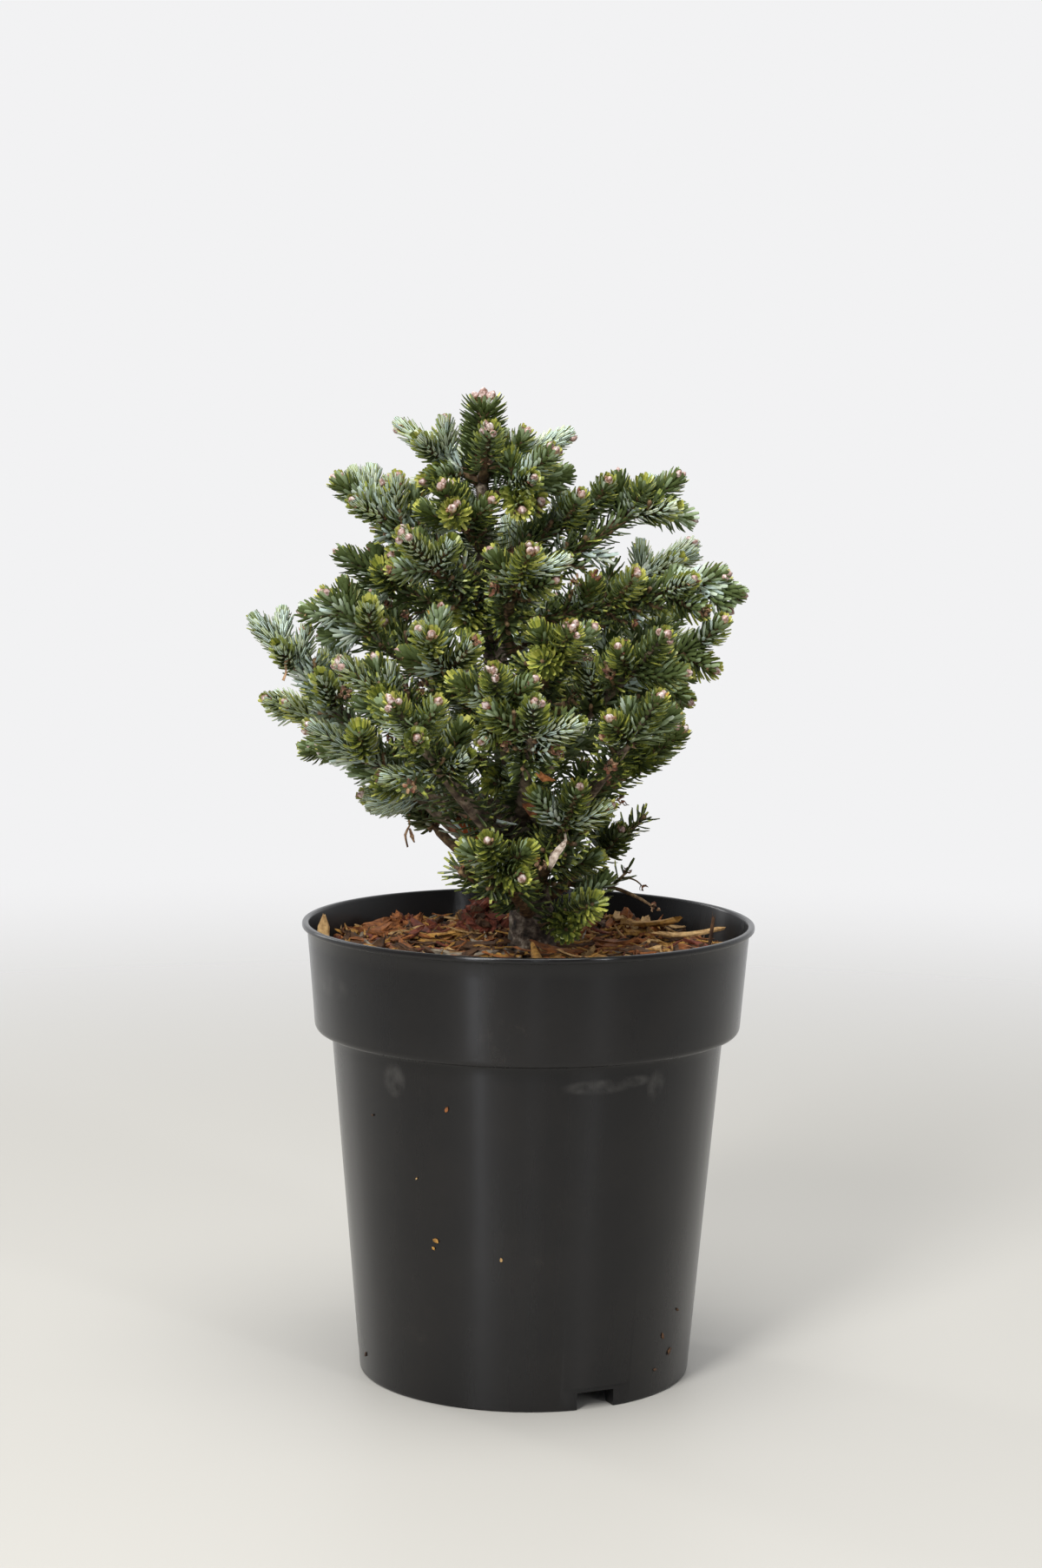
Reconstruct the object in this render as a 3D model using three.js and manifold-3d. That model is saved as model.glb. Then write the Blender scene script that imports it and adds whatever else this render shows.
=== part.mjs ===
// A young Korean fir in a round black nursery pot, as closed solids in millimetres with +Z up.
// The origin is the middle of the pot's underside, and the tree faces -Y.
//
// The tree is grown by rule. A leaning trunk bears whorls of branches, each one a curve from the
// trunk to its tip. A strong branch has a bare limb of its own and then a mass of foliage; a weak
// one is a mass from the trunk outwards. A mass is a main shoot with side shoots at its growth
// joints, every shoot a slim core with needles standing out of it and a bud at its tip.

import * as THREE from "three";
import { mergeVertices } from "three/addons/utils/BufferGeometryUtils.js";
import Module from "manifold-3d";

const wasm = await Module();
wasm.setup();

// ---------------------------------------------------------------- driving dimensions

const GAP = 0.35; // clear space between neighbouring solids
const RAD = Math.PI / 180;

// pot
const POT_HEIGHT = 168.2;
const POT_SIDES = 32;
const LIP_RADIUS = 83.7;
const LIP_HEIGHT = 2.2;
const COLLAR_TOP_RADIUS = 81.8;
const COLLAR_FOOT_RADIUS = 78.8;
const COLLAR_FOOT = 128;
const BODY_TOP_RADIUS = 72.6;
const FOOT_RADIUS = 61.5;
const WALL = 1.6;
const FLOOR_RISE = 5;
const FLOOR_TOP = 7;
const FOOT_RING_WIDTH = 8;
const CENTRE_FOOT_RADIUS = 16;
const DRAIN_BEARINGS = [24.5, 144.5, 264.5]; // from the front towards +X
const DRAIN_NICHE = { width: 28, height: 8.2, depth: 0.9 };
const DRAIN_HOLE = { width: 14.5, low: -1, high: 6.2 };

// soil and bark mulch
const SOIL_TOP = 155.6; // the top of the highest mulch, chips apart
const SOIL_SIDES = 20;
const SOIL_RELIEF = 1.6;
const SOIL_RADIUS = 76.6;
const SOIL_CLEAR = 1.2; // between the filling and the pot's sloping wall
const MULCH_CHIPS = 8;
const CHIP_THICKNESS = 4;

// trunk
const TRUNK_FOOT = 156;
const TRUNK_TIP = 338;
const TRUNK_FOOT_X = 2;
const TRUNK_LEAN = 20.5; // how far the line moves to -X on its way up
const TRUNK_LEAN_TOP = 330;
const TRUNK_BOW = 2.5;
const TRUNK_FOOT_RADIUS = 8.7;
const TRUNK_TAPER = 6.4;
const FLARE = 2.8;
const FLARE_HEIGHT = 6;
const TRUNK_SIDES = 10;

// limbs and shoots
const LIMB_SIDES = 6;
const CURVE_STEPS = 24;
const TWIG_RADIUS = 1.25;
const LIMB_THICKENING = 0.022; // radius gained per millimetre back from the tip
const SHOOT_SIDES = 3;
const SHOOT_CORE = 2.5;
const STEM_STEP = 14; // length of one piece of a bare stem
const BAND = 7.4; // length of one band of needles along a shoot
const NEEDLE_HEIGHT = 5.6;
const NEEDLE_LEAN = 3.6;
const BUD_RADIUS = 1.9;
const BUD_LENGTH = 4;
const LEADER_LENGTH = 21;
const LEADER_RADIUS = 2;

// how far shoots and needles keep from what is there already
const SHOOT_SPACE = 2 * SHOOT_CORE + 1.8; // between the lines of two shoots
const LIMB_SPACE = SHOOT_CORE + 1.2; // from a limb's skin to a shoot's line
const SHOOT_OFF_SOIL = 14;
const SHOOT_OFF_TRUNK = 3;
const TIP_OFF_TRUNK = 6;
const RIM_SPACE = 3; // above the pot's lip, for a shoot that reaches past the mulch
const MULCH_REACH = 60;
const NEEDLE_OFF_SOIL = 8;
const NEEDLE_SPACE = 0.6; // from a needle to bark

// Each branch: name, height where it leaves the trunk, bearing (0 is +X, -90 the front), reach,
// height of its tip, growth joints that bear side shoots, 1 where it has a limb of its own, and
// the seed of its side shoots.
const WHORLS = [
  [
    ["skirt_front", 170, -102, 80, 208, 1, 0, 3],
    ["skirt_front_right", 177, -74, 58, 224, 1, 0, 8],
    ["skirt_low_right", 166, -60, 44, 181, 1, 0, 12],
    ["skirt_right", 173, 5, 44, 209, 1, 0, 11],
    ["skirt_back", 172, 110, 64, 207, 1, 0, 3],
    ["skirt_left", 172, 158, 55, 215, 1, 0, 5],
  ],
  [
    ["low_left", 181, -177, 101, 279, 2, 1, 14],
    ["low_left_back", 206, 160, 96, 247, 1, 1, 11],
    ["low_left_front", 200, -155, 84, 243, 1, 1, 7],
    ["low_front_left", 189, -120, 95, 256, 2, 1, 19],
    ["low_front", 204, -88, 90, 257, 1, 1, 10],
    ["low_front_right", 190, -56, 80, 257, 1, 1, 11],
    ["low_right", 199, -28, 64, 242, 1, 0, 5],
    ["low_right_back", 186, 29, 65, 254, 2, 1, 10],
    ["low_back", 196, 76, 84, 250, 2, 1, 16],
    ["low_back_left", 184, 125, 88, 250, 2, 1, 3],
  ],
  [
    ["middle_left_front", 220, -146, 75, 266, 1, 0, 1],
    ["middle_left", 240, -163, 69, 289, 1, 1, 9],
    ["middle_front_left", 232, -118, 68, 279, 1, 0, 2],
    ["middle_front", 216, -96, 84, 267, 2, 1, 11],
    ["middle_front_right", 239, -73, 75, 281, 1, 0, 3],
    ["middle_right", 223, -47, 77, 278, 2, 1, 2],
    ["middle_right_side", 240, -6, 74, 274, 1, 0, 8],
    ["middle_right_back", 229, 36, 80, 281, 2, 0, 7],
    ["middle_back", 221, 78, 78, 282, 2, 1, 2],
    ["middle_back_left", 232, 136, 78, 287, 2, 1, 15],
  ],
  [
    ["upper_left", 276, 178, 56, 303, 1, 0, 2],
    ["upper_left_high", 293, -174, 55, 330, 1, 0, 11],
    ["upper_front_left", 281, -122, 58, 312, 1, 0, 0],
    ["upper_front", 272, -79, 64, 307, 1, 0, 6],
    ["upper_right", 276, -5, 85, 297, 2, 0, 16],
    ["upper_right_high", 286, 0, 69, 332, 1, 0, 3],
    ["upper_back_right", 267, 23, 80, 306, 1, 0, 15],
    ["upper_back", 276, 83, 60, 314, 2, 0, 16],
    ["upper_back_left", 285, 139, 58, 318, 1, 0, 8],
    ["high_right", 299, 5, 48, 327, 1, 0, 15],
    ["high_front_left", 304, -117, 34, 328, 1, 0, 19],
  ],
  [
    ["top_left", 329, 176, 30, 350, 1, 0, 3],
    ["top_front", 330, -84, 23, 349, 0, 0, 0],
    ["top_front_right", 322, -33, 30, 341, 1, 0, 1],
    ["top_right", 333, 20, 33, 347, 0, 0, 0],
    ["top_back", 326, 100, 30, 348, 1, 0, 10],
  ],
];

const COLOURS = {
  pot: [0x15171a, 0.38],
  soil: [0x5a3a25, 0.95],
  trunk: [0x6b6152, 0.85],
  limb: [0x75664f, 0.85],
  foliage: [0x5f8a3a, 0.6],
};

// ---------------------------------------------------------------- small helpers

const vec = (x, y, z) => new THREE.Vector3(x, y, z);
const UP = vec(0, 0, 1);

// A repeatable stream of numbers from 0 to 1.
function randomStream(seed) {
  let state = seed >>> 0;
  return () => {
    state = (state + 0x6d2b79f5) >>> 0;
    let t = state;
    t = Math.imul(t ^ (t >>> 15), t | 1);
    t ^= t + Math.imul(t ^ (t >>> 7), t | 61);
    return ((t ^ (t >>> 14)) >>> 0) / 4294967296;
  };
}

// Distance between the segments a-b and c-d.
function segmentDistance(a, b, c, d) {
  const u = b.clone().sub(a);
  const v = d.clone().sub(c);
  const w = a.clone().sub(c);
  const uu = u.dot(u);
  const uv = u.dot(v);
  const vv = v.dot(v);
  const uw = u.dot(w);
  const vw = v.dot(w);
  const clamp = (x) => Math.min(1, Math.max(0, x));
  const det = uu * vv - uv * uv;
  let s = det > 1e-9 ? clamp((uv * vw - vv * uw) / det) : 0.5;
  const t = clamp((uv * s + vw) / vv);
  s = clamp((uv * t - uw) / uu);
  return w.addScaledVector(u, s).addScaledVector(v, -t).length();
}

function pointDistance(p, a, b) {
  const u = b.clone().sub(a);
  const w = p.clone().sub(a);
  const s = Math.min(1, Math.max(0, w.dot(u) / u.dot(u)));
  return w.addScaledVector(u, -s).length();
}

// A geometry from corner points and triangles of indices, wound so that it faces outwards.
function closedGeometry(points, triangles) {
  let volume = 0;
  for (const [i, j, k] of triangles) {
    volume += points[i].dot(points[j].clone().cross(points[k]));
  }
  const index = triangles.flatMap(([i, j, k]) => (volume > 0 ? [i, j, k] : [i, k, j]));
  const position = points.flatMap((p) => p.toArray());
  const geometry = new THREE.BufferGeometry();
  geometry.setAttribute("position", new THREE.Float32BufferAttribute(position, 3));
  geometry.setIndex(index);
  return geometry;
}

function toSolid(geometry) {
  const bare = geometry.clone();
  bare.deleteAttribute("normal");
  bare.deleteAttribute("uv");
  const merged = mergeVertices(bare, 1e-4);
  return new wasm.Manifold(
    new wasm.Mesh({
      numProp: 3,
      vertProperties: new Float32Array(merged.attributes.position.array),
      triVerts: new Uint32Array(merged.index.array),
    }),
  );
}

function toGeometry(solid) {
  const mesh = solid.getMesh();
  const geometry = new THREE.BufferGeometry();
  geometry.setAttribute("position", new THREE.BufferAttribute(mesh.vertProperties, 3));
  geometry.setIndex(new THREE.BufferAttribute(mesh.triVerts, 1));
  return geometry;
}

// Joins pieces into one solid; scraps and the skins of sealed hollows are left out.
function joinAll(geometries) {
  const [first, ...others] = geometries.map(toSolid);
  const parts = others.reduce((whole, piece) => whole.add(piece), first).decompose();
  parts.sort((a, b) => b.volume() - a.volume());
  return toGeometry(parts[0]);
}

function latheZ(profile, sides) {
  const points = profile.map(([r, z]) => new THREE.Vector2(r, z));
  return new THREE.LatheGeometry(points, sides).rotateX(Math.PI / 2);
}

// ---------------------------------------------------------------- the trunk's line

function trunkRise(z) {
  return Math.min(1, Math.max(0, (z - TRUNK_FOOT) / (TRUNK_LEAN_TOP - TRUNK_FOOT)));
}

function trunkPoint(z) {
  const t = trunkRise(z);
  const eased = (t * t * (3 - 2 * t)) ** 0.8;
  return vec(TRUNK_FOOT_X - TRUNK_LEAN * eased, TRUNK_BOW * Math.sin(Math.PI * t), z);
}

function trunkRadius(z) {
  const t = (z - TRUNK_FOOT) / (TRUNK_LEAN_TOP - TRUNK_FOOT);
  return TRUNK_FOOT_RADIUS - TRUNK_TAPER * t ** 0.9 + FLARE * Math.exp((TRUNK_FOOT - z) / FLARE_HEIGHT);
}

function distanceFromTrunk(p) {
  const z = Math.min(TRUNK_TIP, Math.max(TRUNK_FOOT, p.z));
  const centre = trunkPoint(z);
  const across = Math.hypot(p.x - centre.x, p.y - centre.y);
  return Math.hypot(Math.max(0, across - trunkRadius(z)), p.z - z);
}

// ---------------------------------------------------------------- the branches

// One branch's curve, sampled evenly enough to be asked for the point at any length from its tip.
function branchFromRow([name, foot, bearing, reach, tipHeight, joints, limb, seed], number) {
  const start = trunkPoint(foot);
  const out = vec(Math.cos(bearing * RAD), Math.sin(bearing * RAD), 0);
  const rise = tipHeight - foot;
  const middle = start.clone().addScaledVector(out, reach * 0.5).addScaledVector(UP, rise * 0.4);
  const tip = start.clone().addScaledVector(out, reach).addScaledVector(UP, rise);
  const points = [];
  for (let i = 0; i <= CURVE_STEPS; i++) {
    const t = 1 - i / CURVE_STEPS;
    points.push(
      vec(0, 0, 0)
        .addScaledVector(start, (1 - t) * (1 - t))
        .addScaledVector(middle, 2 * t * (1 - t))
        .addScaledVector(tip, t * t),
    );
  }
  const lengths = [0];
  for (let i = 1; i <= CURVE_STEPS; i++) {
    lengths.push(lengths[i - 1] + points[i].distanceTo(points[i - 1]));
  }
  const random = randomStream(1000 + number * 77 + seed);
  return { name, number, joints, limb, random, points, lengths, length: lengths[CURVE_STEPS] };
}

function pointOn(branch, fromTip) {
  let i = 1;
  while (i < CURVE_STEPS && branch.lengths[i] < fromTip) i++;
  const part = (fromTip - branch.lengths[i - 1]) / (branch.lengths[i] - branch.lengths[i - 1]);
  return branch.points[i - 1].clone().lerp(branch.points[i], part);
}

// The way the branch points, towards its tip.
function wayOf(branch, fromTip) {
  const ahead = pointOn(branch, Math.max(0, fromTip - 1));
  const behind = pointOn(branch, Math.max(0, fromTip - 1) + 2);
  return ahead.sub(behind).normalize();
}

function limbRadius(fromTip) {
  return TWIG_RADIUS + LIMB_THICKENING * fromTip;
}

// The length from the tip at which the branch comes out of the trunk.
function trunkExit(branch) {
  let fromTip = branch.length;
  while (distanceFromTrunk(pointOn(branch, fromTip)) < GAP) fromTip -= 0.25;
  return fromTip;
}

function planBranches() {
  const branches = WHORLS.flat().map(branchFromRow);
  for (const branch of branches) {
    branch.exit = trunkExit(branch);
    const first = Math.min(21 + 4 * branch.random(), branch.exit * 0.62);
    const second = first + 18 + 4 * branch.random();
    branch.jointsAt = [first, second].slice(0, branch.joints);
    branch.clad = Math.min(branch.joints === 2 ? second + 9 : first + 20, branch.exit - 10);
    branch.entry = branch.limb ? branch.clad : branch.exit;
  }
  return branches;
}

// ---------------------------------------------------------------- growing the shoots

// Every shoot so far, as straight pieces that later shoots and needles keep clear of.
const grown = [];
const limbPieces = [];

function noteLine(owner, shoot, points) {
  for (let i = 1; i < points.length; i++) {
    grown.push({ owner, shoot, a: points[i - 1], b: points[i] });
  }
}

// The stations of a main shoot, as lengths from the branch's tip: a bare stem, then bands of needles.
function spineOf(branch) {
  const spine = [];
  const stems = branch.limb ? 0 : Math.ceil((branch.entry - branch.clad) / STEM_STEP);
  for (let i = 0; i < stems; i++) {
    spine.push(branch.entry + ((branch.clad - branch.entry) * i) / stems);
  }
  const bands = Math.max(2, Math.round((branch.clad - BUD_LENGTH) / BAND));
  for (let i = 0; i <= bands; i++) {
    spine.push(branch.clad + ((BUD_LENGTH - branch.clad) * i) / bands);
  }
  return spine;
}

function roomFor(owner, a, b) {
  const near = a.clone().lerp(b, 0.35);
  if (b.z < POT_HEIGHT + RIM_SPACE && Math.hypot(b.x, b.y) > MULCH_REACH) return false;
  if (b.z < SOIL_TOP + SHOOT_OFF_SOIL) return false;
  if (distanceFromTrunk(near) < SHOOT_OFF_TRUNK || distanceFromTrunk(b) < TIP_OFF_TRUNK) return false;
  for (const piece of limbPieces) {
    if (segmentDistance(near, b, piece.a, piece.b) < piece.r + LIMB_SPACE) return false;
  }
  return grown.every((other) => {
    const from = other.owner === owner ? a.clone().lerp(b, 0.7) : near;
    return segmentDistance(from, b, other.a, other.b) > SHOOT_SPACE;
  });
}

// Turns about the branch, more spread and shares of the length that a side shoot tries in turn.
const SIDE_TRIES = [
  [0, 0, 1],
  [24, 0, 1],
  [-24, 0, 1],
  [0, -12, 0.9],
  [40, 5, 0.8],
  [-40, 5, 0.8],
  [0, 12, 0.7],
];

// Side shoots leave a joint on both sides in the plane of the spray, and sometimes one on top.
function growSides(branch, joint) {
  const random = branch.random;
  const fromTip = branch.jointsAt[joint];
  const root = pointOn(branch, fromTip);
  const way = wayOf(branch, fromTip);
  const side = way.clone().cross(UP).normalize();
  const top = side.clone().cross(way);
  const roll = (random() - 0.5) * 110;
  for (const turn of [0, 180, 90]) {
    const spread = (turn === 90 ? 36 : 46) + 12 * random();
    const length = (joint ? 20 : 15.5) + 5 * random();
    const wanted = turn !== 90 || random() < 0.45;
    for (const [moreRoll, moreSpread, scale] of wanted ? SIDE_TRIES : []) {
      const around = (roll + turn + (turn === 180 ? -moreRoll : moreRoll)) * RAD;
      const open = (spread + moreSpread) * RAD;
      const direction = way
        .clone()
        .multiplyScalar(Math.cos(open))
        .addScaledVector(side, Math.sin(open) * Math.cos(around))
        .addScaledVector(top, Math.sin(open) * Math.sin(around));
      direction.z += 0.12;
      const tip = root.clone().addScaledVector(direction.normalize(), length * scale);
      if (tip.z < branch.points[0].z && roomFor(branch.number, root, tip)) {
        branch.sides.push([root, tip]);
        noteLine(branch.number, branch.sides.length, [root, tip]);
        break;
      }
    }
  }
}

const branches = planBranches();
for (const branch of branches) {
  branch.sides = [];
  noteLine(branch.number, 0, spineOf(branch).map((s) => pointOn(branch, s)));
  if (branch.limb) {
    const steps = 8;
    for (let i = 0; i < steps; i++) {
      const from = branch.entry + ((branch.length - branch.entry) * i) / steps;
      const to = branch.entry + ((branch.length - branch.entry) * (i + 1)) / steps;
      limbPieces.push({ a: pointOn(branch, from), b: pointOn(branch, to), r: limbRadius(to) });
    }
  }
}
const LEADER = branches.length;
const leaderFoot = trunkPoint(TRUNK_TIP);
const leaderTop = leaderFoot.clone().addScaledVector(UP, LEADER_LENGTH);
noteLine(LEADER, 0, [leaderFoot, leaderTop]);
for (const joint of [0, 1]) {
  for (const branch of branches) {
    if (joint < branch.joints) growSides(branch, joint);
  }
}

// ---------------------------------------------------------------- solids swept along a line

// Square frames along a line, each turned as little as possible from the one before.
function framesAlong(points) {
  const frames = [];
  let across = null;
  for (let i = 0; i < points.length; i++) {
    const way = points[Math.min(i + 1, points.length - 1)]
      .clone()
      .sub(points[Math.max(i - 1, 0)])
      .normalize();
    if (!across) across = way.clone().cross(Math.abs(way.z) > 0.9 ? vec(0, 1, 0) : UP).normalize();
    across = across.addScaledVector(way, -across.dot(way)).normalize();
    frames.push({ centre: points[i], way, u: across.clone(), v: way.clone().cross(across) });
  }
  return frames;
}

function ringPoints(frame, radius, sides, halfStep) {
  const ring = [];
  for (let i = 0; i < sides; i++) {
    const angle = ((i + (halfStep ? 0.5 : 0)) / sides) * 2 * Math.PI;
    ring.push(
      frame.centre
        .clone()
        .addScaledVector(frame.u, radius * Math.cos(angle))
        .addScaledVector(frame.v, radius * Math.sin(angle)),
    );
  }
  return ring;
}

// Slides points along a branch's way until they lie on the trunk's skin, a gap clear of it. The
// straight edges between them, of half length halfEdge, stay clear of its round too.
function seatOnTrunk(points, way, halfEdge) {
  const level = Math.hypot(way.x, way.y);
  for (const p of points) {
    for (let i = 0; i < 12; i++) {
      const centre = trunkPoint(p.z);
      const radius = trunkRadius(p.z);
      const target = radius + GAP + (halfEdge * halfEdge) / (2 * radius);
      p.addScaledVector(way, (target - Math.hypot(p.x - centre.x, p.y - centre.y)) / level);
    }
  }
}

// A tapering round limb, seated on the trunk at its foot where it has one there.
function limbGeometry(line, radii, sides, seated) {
  const frames = framesAlong(line);
  const points = frames.flatMap((frame, i) => ringPoints(frame, radii[i], sides, false));
  const foot = points.push(line[0].clone()) - 1;
  const tip = points.push(line[line.length - 1].clone()) - 1;
  const halfEdge = radii[0] * Math.sin(Math.PI / sides);
  if (seated) seatOnTrunk([...points.slice(0, sides), points[foot]], frames[0].way, halfEdge);
  const last = (line.length - 1) * sides;
  const triangles = [];
  for (let j = 0; j < sides; j++) {
    const next = (j + 1) % sides;
    for (let i = 0; i < last; i += sides) {
      triangles.push([i + j, i + next, i + sides + next], [i + j, i + sides + next, i + sides + j]);
    }
    triangles.push([foot, next, j], [tip, last + j, last + next]);
  }
  return closedGeometry(points, triangles);
}

// A needle may stand where it is nearer to its own shoot than to any other and touches nothing.
function needleFits(owner, shoot, root, point) {
  return [0.55, 0.8, 1].every((part) => {
    const p = root.clone().lerp(point, part);
    if (p.z < SOIL_TOP + NEEDLE_OFF_SOIL || distanceFromTrunk(p) < NEEDLE_SPACE) return false;
    if (p.z < POT_HEIGHT + 1 && Math.hypot(p.x, p.y) > BODY_TOP_RADIUS) return false;
    if (limbPieces.some(({ a, b, r }) => pointDistance(p, a, b) < r + NEEDLE_SPACE)) return false;
    let own = Infinity;
    let other = Infinity;
    for (const piece of grown) {
      const distance = pointDistance(p, piece.a, piece.b);
      if (piece.owner !== owner) other = Math.min(other, distance - 0.5);
      else if (piece.shoot !== shoot) other = Math.min(other, distance);
      else own = Math.min(own, distance);
    }
    return own + 0.3 < other;
  });
}

// A shoot: bands of needles on a slim core, from a bare stem at its foot to a bud at its tip.
function shootGeometry(owner, shoot, line, options = {}) {
  const { bareBands = 0, stemRadius = SHOOT_CORE, seated = false } = options;
  const frames = framesAlong(line);
  const last = line.length - 1;
  const sides = SHOOT_SIDES;
  const points = [];
  for (let i = 0; i <= last; i++) {
    const radius = i <= bareBands ? stemRadius : SHOOT_CORE;
    points.push(...ringPoints(frames[i], radius, sides, i % 2 === 1));
  }
  const { way } = frames[last];
  const bud = { ...frames[last], centre: line[last].clone().addScaledVector(way, BUD_LENGTH / 2) };
  points.push(...ringPoints(bud, BUD_RADIUS, sides, last % 2 === 1));
  const foot = points.push(line[0].clone()) - 1;
  const tip = points.push(line[last].clone().addScaledVector(way, BUD_LENGTH)) - 1;
  const halfEdge = stemRadius * Math.sin(Math.PI / sides);
  if (seated) seatOnTrunk([...points.slice(0, sides), points[foot]], frames[0].way, halfEdge);

  const triangles = [];
  for (let j = 0; j < sides; j++) {
    const next = (j + 1) % sides;
    triangles.push([foot, next, j]);
    const collar = last * sides;
    const top = collar + sides;
    triangles.push([collar + j, collar + next, top + next], [collar + j, top + next, top + j]);
    triangles.push([tip, top + j, top + next]);
  }
  for (let i = 0; i < last; i++) {
    const lower = i * sides;
    const upper = lower + sides;
    const frame = frames[i];
    for (let j = 0; j < sides; j++) {
      const next = (j + 1) % sides;
      const odd = i % 2 === 1;
      const faces = odd
        ? [
            [lower + j, lower + next, upper + next],
            [lower + j, upper + next, upper + j],
          ]
        : [
            [lower + j, lower + next, upper + j],
            [lower + next, upper + next, upper + j],
          ];
      for (const face of faces) {
        const root = vec(0, 0, 0);
        for (const k of face) root.addScaledVector(points[k], 1 / 3);
        const out = root.clone().sub(frame.centre);
        out.addScaledVector(frame.way, -out.dot(frame.way)).normalize();
        const point = root
          .clone()
          .addScaledVector(out, NEEDLE_HEIGHT)
          .addScaledVector(frame.way, NEEDLE_LEAN);
        if (i >= bareBands && needleFits(owner, shoot, root, point)) {
          const peak = points.push(point) - 1;
          triangles.push([face[0], face[1], peak], [face[1], face[2], peak], [face[2], face[0], peak]);
        } else {
          triangles.push(face);
        }
      }
    }
  }
  return closedGeometry(points, triangles);
}

function evenLine(a, b) {
  const count = Math.max(2, Math.round(a.distanceTo(b) / BAND));
  const line = [];
  for (let i = 0; i <= count; i++) line.push(a.clone().lerp(b, i / count));
  return line;
}

function foliageGeometry(branch) {
  const spine = spineOf(branch);
  if (branch.limb) spine[0] -= GAP;
  const line = spine.map((s) => pointOn(branch, s));
  const main = shootGeometry(branch.number, 0, line, {
    bareBands: Math.max(1, spine.findIndex((s) => s < branch.clad) - 1),
    stemRadius: Math.max(1.6, limbRadius(spine[0]) - 0.2),
    seated: !branch.limb,
  });
  const sides = branch.sides.map(([root, tip], i) => {
    return shootGeometry(branch.number, i + 1, evenLine(root, tip));
  });
  return joinAll([main, ...sides]);
}

function limbOf(branch) {
  const steps = 4;
  const line = [];
  const radii = [];
  for (let i = 0; i <= steps; i++) {
    const fromTip = branch.exit + ((branch.entry - branch.exit) * i) / steps;
    line.push(pointOn(branch, fromTip));
    radii.push(limbRadius(fromTip) * (i ? 1 : 1.15));
  }
  return limbGeometry(line, radii, LIMB_SIDES, true);
}

function trunkGeometry() {
  const heights = [0, 4, 9, 16, 34, 55, 78, 100, 122, 144, 164, 182].map((h) => TRUNK_FOOT + h);
  const line = heights.map(trunkPoint);
  const level = line.map((centre, i) => {
    const ring = [];
    for (let j = 0; j < TRUNK_SIDES; j++) {
      const angle = (j / TRUNK_SIDES) * 2 * Math.PI;
      const flute = 1 + 0.1 * Math.exp((TRUNK_FOOT - heights[i]) / FLARE_HEIGHT) * Math.cos(3 * angle);
      const radius = (trunkRadius(heights[i]) * flute) / (i ? 1 : 1.1);
      ring.push(centre.clone().add(vec(radius * Math.cos(angle), radius * Math.sin(angle), 0)));
    }
    return ring;
  });
  const points = [...level.flat(), line[0], line[line.length - 1]];
  const foot = points.length - 2;
  const tip = points.length - 1;
  const last = (line.length - 1) * TRUNK_SIDES;
  const triangles = [];
  for (let j = 0; j < TRUNK_SIDES; j++) {
    const next = (j + 1) % TRUNK_SIDES;
    for (let i = 0; i < last; i += TRUNK_SIDES) {
      const above = i + TRUNK_SIDES;
      triangles.push([i + j, i + next, above + next], [i + j, above + next, above + j]);
    }
    triangles.push([foot, next, j], [tip, last + j, last + next]);
  }
  return closedGeometry(points, triangles);
}

// ---------------------------------------------------------------- pot and soil

function bodyRadius(z) {
  return FOOT_RADIUS + ((BODY_TOP_RADIUS - FOOT_RADIUS) * z) / COLLAR_FOOT;
}

function potGeometry() {
  const ringInside = FOOT_RADIUS - FOOT_RING_WIDTH;
  const profile = [
    [0, 0],
    [CENTRE_FOOT_RADIUS, 0],
    [CENTRE_FOOT_RADIUS + 2, FLOOR_RISE],
    [ringInside, FLOOR_RISE],
    [ringInside + 1.5, 0],
    [FOOT_RADIUS, 0],
    [BODY_TOP_RADIUS, COLLAR_FOOT - 0.6],
    [COLLAR_FOOT_RADIUS - 1.6, COLLAR_FOOT + 0.4],
    [COLLAR_FOOT_RADIUS, COLLAR_FOOT + 2.4],
    [COLLAR_TOP_RADIUS, POT_HEIGHT - LIP_HEIGHT],
    [LIP_RADIUS, POT_HEIGHT - LIP_HEIGHT],
    [LIP_RADIUS, POT_HEIGHT - 0.5],
    [LIP_RADIUS - 0.6, POT_HEIGHT],
    [LIP_RADIUS - 2.4, POT_HEIGHT],
    [COLLAR_FOOT_RADIUS - 2 * WALL, COLLAR_FOOT + 3.6],
    [BODY_TOP_RADIUS - WALL, COLLAR_FOOT + 1.6],
    [bodyRadius(FLOOR_TOP) - WALL, FLOOR_TOP],
    [0, FLOOR_TOP],
  ];
  let pot = toSolid(latheZ(profile, POT_SIDES));
  for (const bearing of DRAIN_BEARINGS) {
    const { width, height, depth } = DRAIN_NICHE;
    const niche = new THREE.BoxGeometry(width, 20, height);
    niche.translate(0, -(FOOT_RADIUS + 10 - depth), height / 2 - 0.01);
    const hole = new THREE.BoxGeometry(DRAIN_HOLE.width, 20, DRAIN_HOLE.high - DRAIN_HOLE.low);
    hole.translate(0, -(FOOT_RADIUS - 2), (DRAIN_HOLE.high + DRAIN_HOLE.low) / 2);
    for (const cutter of [niche, hole]) pot = pot.subtract(toSolid(cutter.rotateZ(bearing * RAD)));
  }
  return toGeometry(pot);
}

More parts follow.
